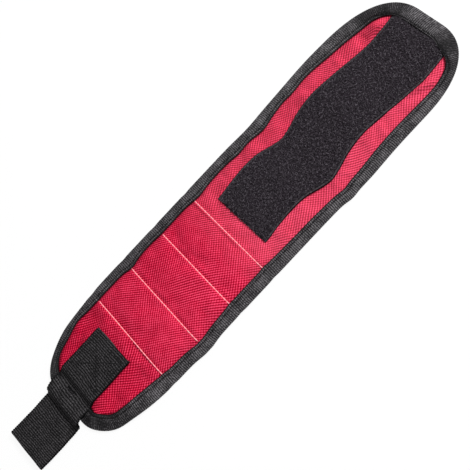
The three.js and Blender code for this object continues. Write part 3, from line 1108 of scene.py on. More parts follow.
    def hold(self, piece: bpy.types.Object, stretch: int) -> None:
        """Makes the end stretches of a layer ride with the body under them; the others keep their places.

        Args:
            piece: the stretch's finished mesh.
            stretch: its place in the list of cuts.
        """
        last = len(self.folds) + 1
        if stretch in (0, last):
            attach(piece, self.bodies[0 if stretch == 0 else -1])
            return
        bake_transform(piece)

    def covered(self, stretch: int) -> tuple[str, ...]:
        """The segments that a stretch lies over."""
        low = max(stretch - 1, 0)
        return self.segments[low : min(stretch, len(self.segments) - 1) + 1]


@dataclass
class Layer:
    """A layer of the band that is made whole and cut at the middle of each segment."""

    band: Band
    material: bpy.types.Material
    slot: Slot
    name: str
    thickness: float
    fill: float | None = None

    def build(self) -> list[bpy.types.Object]:
        """Makes the layer; each kind of layer has its own way."""
        raise NotImplementedError

    def dress(self, sheet: bpy.types.Object, nodes: Callable[[str], list[str]]) -> list[bpy.types.Object]:
        """Cuts a whole sheet into its stretches and finishes each one.

        Args:
            sheet: the whole open sheet, which is removed at the end.
            nodes: gives the solids that the layer stands for on a segment.

        Returns:
            The finished pieces.
        """
        pieces = []
        for stretch, (label, low, high) in enumerate(self.band.cuts()):
            replaced = [node for segment in self.band.covered(stretch) for node in nodes(segment)]
            if not replaced:
                continue
            piece = cut_out(sheet, f"{self.name}_{label}", low, high)
            if not len(piece.data.polygons):
                bpy.data.objects.remove(piece)
                continue
            finish_with(piece, "SOLIDIFY", thickness=self.thickness * MM, offset=-1.0, use_even_offset=True)
            smooth_shaded(piece)
            coat(piece, self.material)
            self.trim(piece, low, high)
            self.band.hold(piece, stretch)
            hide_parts(*replaced)
            pieces.append(piece)
        bpy.data.objects.remove(sheet)
        return pieces

    def trim(self, piece: bpy.types.Object, low: float | None, high: float | None) -> None:
        """Adds sewn detail to a stretch; a plain layer has none."""


@dataclass
class OuterPanel(Layer):
    """The woven outer panel with its three puffed pockets."""

    spacing: float = 0.8
    rows: int = 65
    seam_zone: float = 2.4
    seam_margin: float = 0.3
    seam_columns: int = 17
    tuck: float = 1.6
    drift: float = 1.0
    cross_drift: float = 0.7
    # The coarse copy that settles, and what holds it down
    slack_spacing: float = 2.2
    slack_rows: int = 35
    slack: float = 0.012
    slack_cap: float = 0.35
    slack_frames: int = 20
    slack_scale: float = 20.0
    slack_bending: float = 0.8
    slack_quality: int = 6
    held_margin: float = 1.0
    held_seam: float = 0.6
    strap_end: float = -91.0
    strap_half_width: float = 16.0

    def build(self) -> list[bpy.types.Object]:
        """Makes the panel as one cloth, lets it settle and cuts it at the segments.

        Returns:
            The finished pieces.
        """
        settled = self.settle()

        def place(x: Array, share: Array) -> tuple[Array, Array, Array]:
            """The outer face after it has settled."""
            x, y, z = self.laid(x, share)
            return x, y, z + settled(x, share)

        across = np.linspace(-1.0, 1.0, self.rows)
        sheet = cloth_grid("panel_whole", self.columns(), across, place, self.weave)
        return self.dress(sheet, lambda segment: [f"panel_{segment}"])

    def side_at(self, x: Array, share: Array) -> Array:
        """The place across the band for a share of the width inside the binding's fold."""
        return share * (self.band.half_width(x) - self.tuck)

    def laid(self, x: Array, share: Array) -> tuple[Array, Array, Array]:
        """The outer face as it is laid, inside the fold of the binding."""
        y = self.side_at(x, share)
        return x, y, self.band.panel_top(x, y)

    def columns(self) -> Array:
        """Places along the panel, closer together beside each seam.

        Returns:
            The places, in rising order.
        """
        even = steps(self.band.start + self.tuck, self.band.end - self.tuck, self.spacing)
        seams = np.array(self.band.seams)
        away = np.abs(even[:, None] - seams).min(axis=1)
        beside = seams[:, None] + np.linspace(-self.seam_zone, self.seam_zone, self.seam_columns)
        return np.sort(np.append(even[away > self.seam_zone + self.seam_margin], beside))

    def sewn_down(self, x: Array, y: Array) -> Array:
        """True where stitches, the tape, the strap or the patch hold the panel.

        Args:
            x: places along the band.
            y: places across it.

        Returns:
            True or False for each place.
        """
        band = self.band
        held = band.inset(x, y) - band.leg_at(x, y) < self.held_margin
        for seam in band.seams:
            held |= np.abs(x - band.seam_lean * y - seam) < self.held_seam * self.slack_spacing
        under_patch = np.abs(y - through(band.patch_wave, x)) < band.strip_start
        held |= (x > band.patch_wave[0][0] - self.held_margin) & under_patch
        under_strap = np.abs(y - band.tab_pad_middle) < self.strap_half_width
        return held | ((x < self.strap_end) & under_strap)

    def settle(self) -> Callable[[Array, Array], Array]:
        """Simulates a coarse copy of the panel, cut a little too long and sewn down at its seams.

        Returns:
            The height that the cloth gains by settling, for a place along and a share of the width.
        """
        band = self.band
        along = steps(band.start + self.tuck, band.end - self.tuck, self.slack_spacing)
        across = np.linspace(-1.0, 1.0, self.slack_rows)
        sheet = cloth_grid("panel_slack", along, across, self.laid)
        laid = points_of(sheet)
        held = np.flatnonzero(self.sewn_down(laid[:, 0], laid[:, 1]))
        put_points(sheet, laid * self.slack_scale)
        sheet.vertex_groups.new(name="sewn_down").add(held.tolist(), 1.0, "REPLACE")
        pick(sheet)
        modifier = sheet.modifiers.new("cloth", "CLOTH")
        cloth = modifier.settings
        cloth.vertex_group_mass = "sewn_down"
        cloth.effector_weights.gravity = 0.0
        cloth.shrink_min = -self.slack
        cloth.bending_stiffness = self.slack_bending
        cloth.quality = self.slack_quality
        for frame in range(1, self.slack_frames + 1):
            bpy.context.scene.frame_set(frame)
        bpy.ops.object.modifier_apply(modifier=modifier.name)
        gain = points_of(sheet)[:, 2] / self.slack_scale - laid[:, 2]
        gain = self.slack_cap * np.tanh(gain / self.slack_cap)
        bpy.context.scene.frame_set(1)
        bpy.data.objects.remove(sheet)
        LOG.info("panel settled: %.2f to %.2f mm, spread %.3f", gain.min(), gain.max(), gain.std())
        rows = gain.reshape(len(across), len(along))

        def settled(x: Array, share: Array) -> Array:
            """Reads the gain between the coarse points.

            Args:
                x: places along the band.
                share: shares of the width, from -1 at the near side to 1 at the far side.

            Returns:
                The gain in millimetres.
            """
            inside = 1.001
            column = np.clip((x - along[0]) / (along[1] - along[0]), 0.0, len(along) - inside)
            row = np.clip((share - across[0]) / (across[1] - across[0]), 0.0, len(across) - inside)
            left, low = column.astype(int), row.astype(int)
            ahead, up = column - left, row - low
            near = rows[low, left] * (1.0 - ahead) + rows[low, left + 1] * ahead
            far = rows[low + 1, left] * (1.0 - ahead) + rows[low + 1, left + 1] * ahead
            return near * (1.0 - up) + far * up

        return settled

    def weave(self, x: Array, share: Array) -> tuple[Array, Array]:
        """Millimetres along and across the band, with threads that stray from their true lines.

        Args:
            x: places along the band.
            share: shares of the width, from -1 at the near side to 1 at the far side.

        Returns:
            The UV map's millimetres.
        """
        y = self.side_at(x, share)
        stray_x = self.drift * np.sin(x / 9.0 + y / 31.0 + 0.8)
        stray_y = self.cross_drift * self.drift * np.sin(x / 13.0 - y / 11.0)
        return x + stray_x, y + stray_y


@dataclass
class Lining(OuterPanel):
    """The padded lining on the wrist side, quilted along the seams and folds."""

    rows: int = 49
    quilt_depth: float = 0.85
    quilt_power: float = 0.4
    edge_start: float = 6.5
    edge_fade: float = 5.0
    clearance: float = 0.05

    def build(self) -> list[bpy.types.Object]:
        """Makes the lining as one cloth that faces the wrist.

        Returns:
            The finished pieces.
        """
        band = self.band
        along = steps(band.start + self.tuck, band.end - self.tuck, self.spacing)
        across = np.linspace(1.0, -1.0, self.rows)
        lines = (band.start, *band.folds, band.end)

        def place(x: Array, share: Array) -> tuple[Array, Array, Array]:
            """The wrist face, pressed up along each seam and at the binding.

            Args:
                x: places along the band.
                share: shares of the width, from -1 at the near side to 1 at the far side.

            Returns:
                x, y and z.
            """
            y = self.side_at(x, share)
            puff = np.zeros(np.shape(x))
            for low, high in zip(lines, lines[1:]):
                cell = np.clip((x - low) / (high - low), 0.0, 1.0)
                puff = np.maximum(puff, np.sin(math.pi * cell) ** self.quilt_power)
            edge = eased((band.half_width(x) - np.abs(y) - self.edge_start) / self.edge_fade)
            return x, y, self.clearance + self.quilt_depth * (1.0 - puff * edge)

        sheet = cloth_grid("lining_whole", along, across, place, self.weave)
        return self.dress(sheet, lambda segment: [f"lining_{segment}"])


@dataclass
class EdgeBinding(Layer):
    """Ribbed tape folded round the whole edge, with its row of black stitches."""

    thread: bpy.types.Material | None = None
    rib_pitch: float = 1.25
    rib_rise: float = 0.11
    rib_mean: float = 0.6
    tape_width: float = 18.0
    true_edge: float = 0.35
    press: float = 1.7
    height: float = 4.05
    corner: float = 1.95
    spacing: float = 0.31
    zones: Zones = ((0.0, 0.3, 6), (0.3, 0.66, 13), (0.66, 1.0, 14))
    lap: float = 7.0
    lap_fade: float = 1.5
    lap_rise: float = 0.55
    # How the outline is traced
    outline_points: int = 2400
    end_points: int = 58
    path_points: int = 3001
    path_step: int = 6
    path_smoothing: int = 41
    sway_start: float = 12.0
    sway_length: float = 20.0
    # Where the strap presses the tape down
    strap_start: float = -120.0
    strap_fade: float = 4.0
    strap_middle: float = 2.0
    strap_half_width: float = 21.0
    strap_side_fade: float = 5.0
    # How the tape's upper leg arches
    edge_stand: float = 0.5
    tip_start: float = 150.0
    tip_length: float = 10.0
    tip_stand: float = 0.5
    crown: float = 0.8
    crown_pressed: float = 0.7
    crown_power: float = 0.8
    under_rise: float = 0.1
    under_clearance: float = 0.04
    floor_clearance: float = 0.02
    # The row of stitches and the groove that it pulls
    stitch_inset: float = 2.2
    tip_inset: float = 1.4
    tip_inset_start: float = 152.0
    tip_inset_length: float = 12.0
    groove: float = 0.8
    groove_reach: float = 0.7
    tip_groove: float = 0.5
    stitch_pitch: float = 3.3
    stitch_gap: float = 0.3
    stitch_length: float = 2.7
    stitch_thick: float = 0.6
    stitch_stand: float = 0.12
    stitch_clearance: float = 1.6
    # Where the tape is darkened, drawn taut at the tip's corners and with painted shade round the tab: where
    # each fade starts, and its length
    tight_tip: tuple[float, float] = (138.0, 16.0)
    tight_corner: tuple[float, float] = (10.0, 9.0)
    shaded_tab: tuple[float, float] = (-104.0, 16.0)
    shaded_tab_share: float = 0.68
    path: Array = field(init=False)
    inward: Array = field(init=False)
    length: float = field(init=False)

    def __post_init__(self) -> None:
        """Traces the outline once."""
        self.trace()

    def trace(self) -> None:
        """Walks round the outline from the middle of the strap's end, the far side first."""
        band = self.band
        share = np.linspace(0.0, math.pi, self.outline_points)
        x = (band.start + band.end) / 2.0 - (band.end - band.start) / 2.0 * np.cos(share)
        half = band.half_width(x)
        free = eased((half - self.sway_start) / self.sway_length)
        far = np.stack([x, half + band.sway(x, 1.0) * free], axis=1)
        near = np.stack([x, -half - band.sway(x, -1.0) * free], axis=1)[::-1]
        ends = np.linspace(0.0, 1.0, self.end_points + 2)[1:-1]
        tab_x = np.full(self.end_points, band.start)
        tip_x = np.full(self.end_points, band.end)
        tab_up = np.stack([tab_x, ends * far[0, 1]], axis=1)
        tip_down = np.stack([tip_x, far[-1, 1] + ends * (near[0, 1] - far[-1, 1])], axis=1)
        tab_back = np.stack([tab_x, near[-1, 1] * (1.0 - ends)], axis=1)
        middle = [[band.start, 0.0]]
        loop = np.concatenate([middle, tab_up, far, tip_down, near, tab_back, middle])
        run = np.concatenate([[0.0], np.cumsum(np.hypot(*np.diff(loop, axis=0).T))])
        self.length = float(run[-1])
        at = np.linspace(0.0, self.length, self.path_points)
        self.path = np.stack([np.interp(at, run, loop[:, 0]), np.interp(at, run, loop[:, 1])], axis=1)
        closed = self.path[:-1]
        ahead = np.roll(closed, -self.path_step, axis=0) - np.roll(closed, self.path_step, axis=0)
        inward = np.stack([ahead[:, 1], -ahead[:, 0]], axis=1)
        inward /= np.linalg.norm(inward, axis=1)[:, None]
        kernel = np.hanning(self.path_smoothing)
        kernel /= kernel.sum()
        side = self.path_smoothing // 2
        padded = np.concatenate([inward[-side:], inward, inward[:side]])
        soft = np.stack([np.convolve(padded[:, axis], kernel, "valid") for axis in (0, 1)], axis=1)
        soft /= np.linalg.norm(soft, axis=1)[:, None]
        self.inward = np.concatenate([soft, soft[:1]])

    def at(self, along: Array, depth: Array) -> tuple[Array, Array]:
        """Places on the outline moved inwards.

        Args:
            along: distance round the outline.
            depth: distance inwards.

        Returns:
            x and y.
        """
        turn = np.mod(along, self.length) / self.length * (len(self.path) - 1)
        row = np.arange(len(self.path))
        spot = [np.interp(turn, row, self.path[:, axis]) for axis in (0, 1)]
        lean = [np.interp(turn, row, self.inward[:, axis]) for axis in (0, 1)]
        return spot[0] + lean[0] * depth, spot[1] + lean[1] * depth

    def edge(self, along: Array) -> tuple[Array, Array]:
        """Places on the outline itself."""
        return self.at(along, np.zeros(np.shape(along)))

    def leg(self, along: Array) -> Array:
        """How far the tape reaches in over the panel."""
        return self.band.leg_at(*self.edge(along))

    def spread(self, along: Array) -> Array:
        """The tape's width from edge to edge round the fold."""
        return 2.0 * (self.leg(along) - self.corner) + math.pi * self.corner

    def inset_at(self, along: Array) -> Array:
        """How far in from the tape's edge its stitches run; they run closer to it round the tip."""
        x = self.edge(along)[0]
        return self.stitch_inset - self.tip_inset * eased((x - self.tip_inset_start) / self.tip_inset_length)

    def section(self, along: Array, share: Array) -> tuple[Array, Array, Array]:
        """The folded tape's outer face.

        Args:
            along: distance round the outline.
            share: from 0 at the inner edge on the wrist side to 1 at the inner edge on the panel.

        Returns:
            x, y and z.
        """
        leg = self.leg(along)
        bend = math.pi * self.corner
        flat = leg - self.corner
        total = self.spread(along)
        run = share * total
        rib = self.rib_rise * (np.abs(np.sin(math.pi * along / self.rib_pitch)) - self.rib_mean)
        turn = np.clip((run - flat) / bend, 0.0, 1.0) * math.pi
        under = run < flat
        over = run > flat + bend
        height = self.height - self.press * np.maximum(self.under_strap(along), self.at_tab(along))
        middle = height / 2.0
        depth = self.corner - (self.corner + rib) * np.sin(turn)
        z = middle - (middle + rib) * np.cos(turn)
        depth = np.where(under, leg - run, np.where(over, leg - (total - run), depth))
        x, y = self.at(along, depth)
        at_tip = eased((x - self.tip_start) / self.tip_length)
        edge_height = self.band.panel_top(*self.at(along, leg)) + self.thickness
        edge_height = edge_height + self.edge_stand + self.tip_stand * at_tip
        inner = np.clip((run - flat - bend) / flat, 0.0, 1.0)
        crown = self.crown - self.crown_pressed * self.under_strap(along)
        crown = crown * np.sin(math.pi * inner**self.crown_power) ** self.crown_power
        groove = self.groove * (1.0 - self.tip_groove * at_tip)
        crown = crown - groove * mound(total - run, self.inset_at(along), self.groove_reach)
        z = np.where(over, height + (edge_height - height) * eased(inner) + crown + rib, z)
        bottom = self.under_rise * (1.0 - run / flat) + self.under_clearance - np.minimum(rib, 0.0)
        z = np.where(under, bottom, z)
        lapped = eased((along - self.length) / self.lap_fade + 0.5)
        z = z + np.where(over, self.lap_rise * lapped, 0.0)
        return x, y, np.maximum(z, self.floor_clearance)

    def under_strap(self, along: Array) -> Array:
        """1 where the strap is sewn over the tape, 0 elsewhere.

        Args:
            along: distance round the outline.

        Returns:
            A share from 0 to 1.
        """
        x, y = self.edge(along)
        aside = np.abs(y - self.strap_middle)
        across = eased((self.strap_half_width - aside) / self.strap_side_fade)
        return eased((self.strap_start - x) / self.strap_fade) * across

    def at_tab(self, along: Array) -> Array:
        """1 at the strap's end of the band, where the tape is drawn down, fading to 0 along both sides."""
        return self.band.drawn_down(self.edge(along)[0])

    def build(self) -> list[bpy.types.Object]:
        """Sweeps the tape round the outline and cuts it at the segments.

        Returns:
            The finished pieces.
        """
        along = steps(0.0, self.length + self.lap, self.spacing)
        across = graded(self.zones)

        def weave(run: Array, share: Array) -> tuple[Array, Array]:
            """Millimetres along and across the tape, true near its edges and drawn out at the fold.

            Args:
                run: distance round the outline.
                share: the share of the tape's width, from 0 to 1.

            Returns:
                The UV map's millimetres.
            """
            edge = np.minimum(share, 1.0 - share)
            extra = self.spread(run) - self.tape_width
            at_edge = eased((0.5 - edge) / self.true_edge)
            gap = edge * (self.tape_width + extra * at_edge)
            gap = gap + (self.stitch_inset - self.inset_at(run)) * at_edge
            return run, np.sign(share - 0.5) * (self.tape_width / 2.0 - gap)

        sheet = cloth_grid("binding_whole", along, across[::-1], self.section, weave)
        self.mark_taut_and_shaded(sheet)

        def nodes(segment: str) -> list[str]:
            """One ring at each end, two sides elsewhere.

            Args:
                segment: the segment's name.

            Returns:
                The solids of the tape on it.
            """
            if segment in ("tab", "loop_5"):
                return [f"binding_{segment}"]
            return [f"binding_far_{segment}", f"binding_near_{segment}"]

        return self.dress(sheet, nodes)

    def mark_taut_and_shaded(self, sheet: bpy.types.Object) -> None:
        """Marks on the mesh where the tape is darkened: most at the tip's corners, where it is drawn taut,
        and less round the tab, where the darkening is painted shade.

        Args:
            sheet: the whole tape.
        """
        x, y, _z = points_of(sheet).T
        at_tip = eased((x - self.tight_tip[0]) / self.tight_tip[1])
        tip = at_tip * eased((np.abs(y) - self.tight_corner[0]) / self.tight_corner[1])
        tab = self.shaded_tab_share * eased((self.shaded_tab[0] - x) / self.shaded_tab[1])
        mark = sheet.data.attributes.new(TAUT_AND_SHADED, "FLOAT", "POINT")
        mark.data.foreach_set("value", np.maximum(tip, tab).astype(np.float32))

    def trim(self, piece: bpy.types.Object, low: float | None, high: float | None) -> None:
        """Sews the row of black stitches that holds the tape on one stretch.

        Args:
            piece: the stretch of tape.
            low: the plane on the strap's side, or None.
            high: the plane on the tip's side, or None.
        """
        frames = []
        count = round(self.length / self.stitch_pitch)
        for start in np.arange(count) * (self.length / count):
            along = start + np.array([self.stitch_gap, self.stitch_gap + self.stitch_length])
            share = 1.0 - self.inset_at(along) / self.spread(along)
            ends = np.stack(self.section(along, share), axis=1)
            ends[:, 2] += self.stitch_stand
            middle = ends[:, 0].mean()
            past_low = low is None or middle > low + self.stitch_clearance
            if past_low and (high is None or middle < high - self.stitch_clearance):
                frames.append(frame_at(ends[0], ends[1]))
        row = copies(stitch_model(self.stitch_length, self.stitch_thick), frames, "binding_stitches")
        coat(row, self.thread)
        joined_to(piece, row)


@dataclass
class LoopPatch(Layer):
    """The strip of loop pile along the free half, which waves a little as it lies.

    The loops are drawn coarser and further apart than real ones, or they would be too fine to show.
    """

    start: float = 11.3
    end: float = 167.0
    half_width: float = 20.25
    yarn: bpy.types.Material | None = None
    clearance: float = 0.25
    stand: float = 0.12
    ground: float = 0.55
    pile: float = 0.8
    selvedge: float = 1.2
    cut_margin: float = 0.3
    rounding: float = 1.2
    pressed_start: float = 160.0
    pressed_length: float = 3.0
    pressed_share: float = 0.6
    spacing: float = 0.75
    first_row: float = 0.5
    bare_end: float = 6.2
    loop_spacing: float = 1.2
    loop_radius: float = 0.62
    loop_thread: float = 0.18
    loop_root: float = 0.1
    loop_scatter: float = 0.6
    loop_leans: tuple[float, float] = (0.1, 1.2)
    loop_sizes: tuple[float, float] = (0.7, 1.15)
    seed: int = 7

    def build(self) -> list[bpy.types.Object]:
        """Makes the strip as one cloth and cuts it at the segments.

        Returns:
            The finished pieces.
        """
        along = steps(self.start, self.end, self.spacing)
        across = steps(-self.half_width, self.half_width, self.spacing)
        sheet = cloth_grid("patch_whole", along, across, self.face)

        def nodes(segment: str) -> list[str]:
            """The strip lies on the loop segments alone."""
            return [f"patch_{segment}"] if segment.startswith("loop") else []

        return self.dress(sheet, nodes)

    def face(self, x: Array, side: Array) -> tuple[Array, Array, Array]:
        """The ground's face, rounded at its edges and pressed flat under the tip's tape.

        Args:
            x: places along the band.
            side: places across it, from its middle.

        Returns:
            x, y and z.
        """
        band = self.band
        y = side + through(band.patch_wave, x)
        rim = np.minimum(self.half_width - self.selvedge - np.abs(side), x - self.start - self.cut_margin)
        short = 1.0 - np.clip(rim / self.rounding, 0.0, 1.0)
        round_off = np.sqrt(np.clip(1.0 - short**2, 0.0, 1.0))
        pressed = 1.0 - self.pressed_share * eased((x - self.pressed_start) / self.pressed_length)
        lie = band.panel_height + self.clearance + band.lie_at(x, y) + self.stand
        return x, y, lie + (self.ground + self.pile * round_off) * pressed

    def trim(self, piece: bpy.types.Object, low: float | None, high: float | None) -> None:
        """Stands the loops of the pile on one stretch.

        Args:
            piece: the stretch of the patch.
            low: the plane on the strap's side, or None.
            high: the plane on the tip's side, or None.
        """
        chance = np.random.default_rng(self.seed)
        reach = self.half_width - self.selvedge
        rows = np.arange(self.start + self.first_row, self.end - self.bare_end, self.loop_spacing)
        places = np.array([(x, side) for x in rows for side in np.arange(-reach, reach, self.loop_spacing)])
        places = places + chance.uniform(-self.loop_scatter, self.loop_scatter, places.shape)
        turns = chance.uniform(0.0, 2.0 * math.pi, len(places))
        leans = chance.uniform(*self.loop_leans, len(places))
        sizes = chance.uniform(*self.loop_sizes, len(places))
        x, y, z = self.face(places[:, 0], places[:, 1])
        inside = (x > (-math.inf if low is None else low)) & (x <= (math.inf if high is None else high))
        frames = [
            Matrix.Translation(Vector((x[n], y[n], z[n] - self.loop_root)) * MM)
            @ Matrix.Rotation(turns[n], 4, "Z")
            @ Matrix.Rotation(leans[n], 4, "X")
            @ Matrix.Scale(sizes[n], 4)
            for n in np.flatnonzero(inside)
        ]
        bpy.ops.object.select_all(action="DESELECT")
        bpy.ops.mesh.primitive_torus_add(
            major_segments=8,
            minor_segments=4,
            major_radius=self.loop_radius * MM,
            minor_radius=self.loop_thread * MM,
        )
        loops = copies(bpy.context.object, frames, "pile_loops")
        coat(loops, self.yarn)
        joined_to(piece, loops)


# Stitches


def stitch_model(length: float, thick: float, blunt: float = 0.7, dip: float = 0.55) -> bpy.types.Object:
    """One stitch along x at the origin: a rounded thread whose ends dip into the cloth.

    Args:
        length: the stitch's length.
        thick: the thread's thickness.
        blunt: how full its ends are; a lower number is fuller.
        dip: how far its ends sink, in thicknesses.

    Returns:
        The stitch.
    """
    bpy.ops.object.select_all(action="DESELECT")
    bpy.ops.mesh.primitive_uv_sphere_add(segments=8, ring_count=6, radius=1.0)
    stitch = bpy.context.object
    ball = points_of(stitch) * MM
    x = np.sign(ball[:, 2]) * np.abs(ball[:, 2]) ** blunt * length / 2.0
    y = ball[:, 0] * thick / 2.0
    z = ball[:, 1] * thick / 2.0 - thick * dip * np.abs(2.0 * x / length) ** 3
    put_points(stitch, np.stack([x, y, z], axis=1))
    smooth_shaded(stitch, 180.0)
    return stitch


def frame_at(start: Array, end: Array) -> Matrix:
    """A frame at the middle of a line, with x along it and z leaning up.

    Args:
        start: the line's first point, in millimetres.
        end: the line's last point.

    Returns:
        The frame, in metres.
    """
    ahead = Vector(end - start).normalized()
    side = Vector((0.0, 0.0, 1.0)).cross(ahead).normalized()
    frame = Matrix((ahead, side, ahead.cross(side))).transposed().to_4x4()
    frame.translation = Vector((start + end) / 2.0 * MM)
    return frame


@dataclass
class PocketSeams:
    """Four rows of pale stitches across the band."""

    band: Band
    material: bpy.types.Material
    half_length: float = 29.6
    near_extra: tuple[float, ...] = (1.0, 2.2, 1.4, 1.4)
    stitch: float = 3.3
    gap: float = -0.25
    thick: float = 0.78
    stand: float = 0.42

    def build(self) -> list[bpy.types.Object]:
        """Sews each row on its fold.

        Returns:
            The finished pieces.
        """
        rows = []
        for number, seam in enumerate(self.band.seams):
            frames = []
            first = -self.half_length - self.near_extra[number]
            for start in np.arange(first, self.half_length, self.stitch + self.gap):
                ends = np.array([[seam, start, 0.0], [seam, start + self.stitch, 0.0]])
                ends[:, 0] += self.band.seam_lean * ends[:, 1]
                ends[:, 2] = self.band.panel_top(ends[:, 0], ends[:, 1]) + self.stand
                frames.append(frame_at(ends[0], ends[1]))
            row = copies(stitch_model(self.stitch, self.thick), frames, f"pocket_seam_row_{number + 1}")
            coat(row, self.material)
            self.band.hold(row, number + 1)
            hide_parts(f"pocket_seam_{number + 1}")
            rows.append(row)
        return rows


# The closing strap


@dataclass
class ClosingStrap:
    """Ribbed webbing sewn on over the binding, with a free tail that carries hook tape."""

    band: Band
    webbing: bpy.types.Material
    hook: bpy.types.Material
    thread: bpy.types.Material
    end: float = -172.5
    sewn_end: float = -91.9
    half_width: float = 15.0
    middle_line: Curve = (
        (-172.5, -0.7), (-160.0, -0.8), (-150.0, -0.7), (-142.0, -0.3), (-138.0, 0.5), (-133.5, 1.8),
        (-124.0, 2.75), (-110.0, 3.05), (-92.0, 3.5),
    )
    taper: Curve = ((-172.5, 1.01), (-140.0, 1.0), (-117.0, 0.995), (-92.0, 0.985))
    cut_skew: float = 0.9
    skew_start: float = -158.0
    skew_length: float = 14.5
    thickness: float = 1.5
    rib_pitch: float = 1.4
    rib_rise: float = 0.08
    rib_mean: float = 0.6
    edge_width: float = 1.2
    edge_teeth: float = 0.4
    edge_drop: float = 0.45
    unevenness: float = 0.18
    cup: float = 0.25
    cup_start: float = -141.0
    cup_length: float = 6.0
    waver: float = 0.5
    fine_waver: float = 0.2
    spacing: float = 0.35
    edge_columns: int = 4
    field_columns: int = 26
    hinge: float = -139.5
    hinge_y: float = 2.0
    hinge_height: float = 5.8
    bend: float = 5.0
    split: float = -133.0
    profile: Curve = (
        (-172.5, 3.7), (-163.0, 3.45), (-155.0, 3.35), (-149.0, 3.3), (-144.4, 3.2), (-142.6, 2.95),
        (-141.3, 2.7), (-140.4, 3.2), (-139.6, 4.6), (-138.7, 6.2), (-137.9, 6.9), (-136.7, 7.1),
        (-134.2, 6.7), (-131.4, 5.9), (-129.0, 5.1), (-127.4, 4.75), (-126.2, 4.8), (-125.1, 5.5),
        (-123.6, 6.8), (-122.4, 7.25), (-120.6, 7.3), (-117.0, 7.05), (-110.0, 6.85), (-100.0, 6.7),
        (-92.0, 6.4),
    )
    # The hook tape
    hook_start: float = -170.8
    hook_end: float = -149.9
    hook_half_width: float = 14.0
    hook_pitch: float = 1.5
    hook_margins: tuple[float, float] = (1.2, 0.8)
    hook_base: float = 0.55
    hook_base_drop: float = 0.65
    hook_base_spacing: float = 1.0
    hook_drop: float = 1.1
    hook_height: float = 1.0
    hook_foot: float = 0.16
    hook_head: float = 0.3
    # The sewn square
    square_start: float = -117.5
    square_end: float = -95.2
    square_inset: float = 2.6
    square_stitch: float = 2.5
    square_pitch: float = 2.8
    square_thick: float = 0.7
    square_stand: float = 0.1
    square_gap: float = 0.06

    def middle(self, x: Array) -> Array:
        """The strap's centre line, which lies a little askew."""
        return through(self.middle_line, x)

    def top(self, x: Array) -> Array:
        """Height of the strap's upper face."""
        return through(self.profile, x)

    def face(self, x: Array, side: Array) -> tuple[Array, Array, Array]:
        """The upper face, with ribs across it and small teeth along its edges.

        Args:
            x: places along the band.
            side: places across it, from its middle.

        Returns:
            x, y and z.
        """
        rib = np.abs(np.sin(math.pi * self.weave(x, side)[0] / self.rib_pitch))
        edge = eased((np.abs(side) - self.half_width + self.edge_width) / self.edge_width)
        teeth = np.sign(side) * edge * self.edge_teeth * (rib - 0.5)
        y = self.middle(x) + side * through(self.taper, x) + teeth
        z = self.top(x) + self.rib_rise * (rib - self.rib_mean) - self.edge_drop * edge
        z = z + self.unevenness * np.sin(x / 2.3 + side / 6.0) * np.sin(side / 4.1 + x / 17.0)
        cup = self.cup * (side / self.half_width) ** 2
        near = 0.5 - 0.5 * side / self.half_width
        skewed = x + self.cut_skew * near * eased((self.skew_start - x) / self.skew_length)
        return skewed, y, z - cup * eased((self.cup_start - x) / self.cup_length)

    def weave(self, x: Array, side: Array) -> tuple[Array, Array]:
        """Millimetres along and across the webbing, whose ribs waver a little.

        Args:
            x: places along the band.
            side: places across it, from its middle.

        Returns:
            The UV map's millimetres.
        """
        waver = self.waver * np.sin(side / 8.7 + x / 13.0)
        waver = waver + self.fine_waver * np.sin(side / 3.1 - x / 7.3 + 1.0)
        return x + waver, side

    def build(self) -> list[bpy.types.Object]:
        """Makes the webbing, its hook tape and its sewn square.

        Returns:
            The finished pieces.
        """
        along = steps(self.end, self.sewn_end, self.spacing)
        field_half = self.half_width - self.edge_width
        across = graded(
            (
                (-self.half_width, -field_half, self.edge_columns),
                (-field_half, field_half, self.field_columns),
                (field_half, self.half_width, self.edge_columns),
            )
        )
        sheet = cloth_grid("strap_whole", along, across, self.face, self.weave)
        base = self.dress(cut_out(sheet, "strap_sewn", self.split, None))
        tail = self.dress(cut_out(sheet, "strap_free", None, self.split))
        bpy.data.objects.remove(sheet)
        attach(base, "tab_end")
        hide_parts("strap_base")
        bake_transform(tail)
        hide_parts("strap_tail", "strap_base")
        return [base, tail, self.hooks(), self.sewn_square()]

    def dress(self, piece: bpy.types.Object) -> bpy.types.Object:
        """Thickens a stretch of webbing and gives it its finish.

        Args:
            piece: the open stretch.

        Returns:
            The same piece.
        """
        finish_with(piece, "SOLIDIFY", thickness=self.thickness * MM, offset=-1.0, use_even_offset=True)
        smooth_shaded(piece)
        coat(piece, self.webbing)
        return piece

    def hooks(self) -> bpy.types.Object:
        """The hook tape: a thin base with rows of small hooks that point down.

        Returns:
            The finished hook tape.
        """
        along = steps(self.hook_start, self.hook_end, self.hook_base_spacing)
        across = steps(self.hook_half_width, -self.hook_half_width, self.hook_base_spacing)

        def place(x: Array, side: Array) -> tuple[Array, Array, Array]:
            """The base's lower face, under the webbing."""
            return x, self.middle(x) + side, self.top(x) - self.thickness - self.hook_base_drop

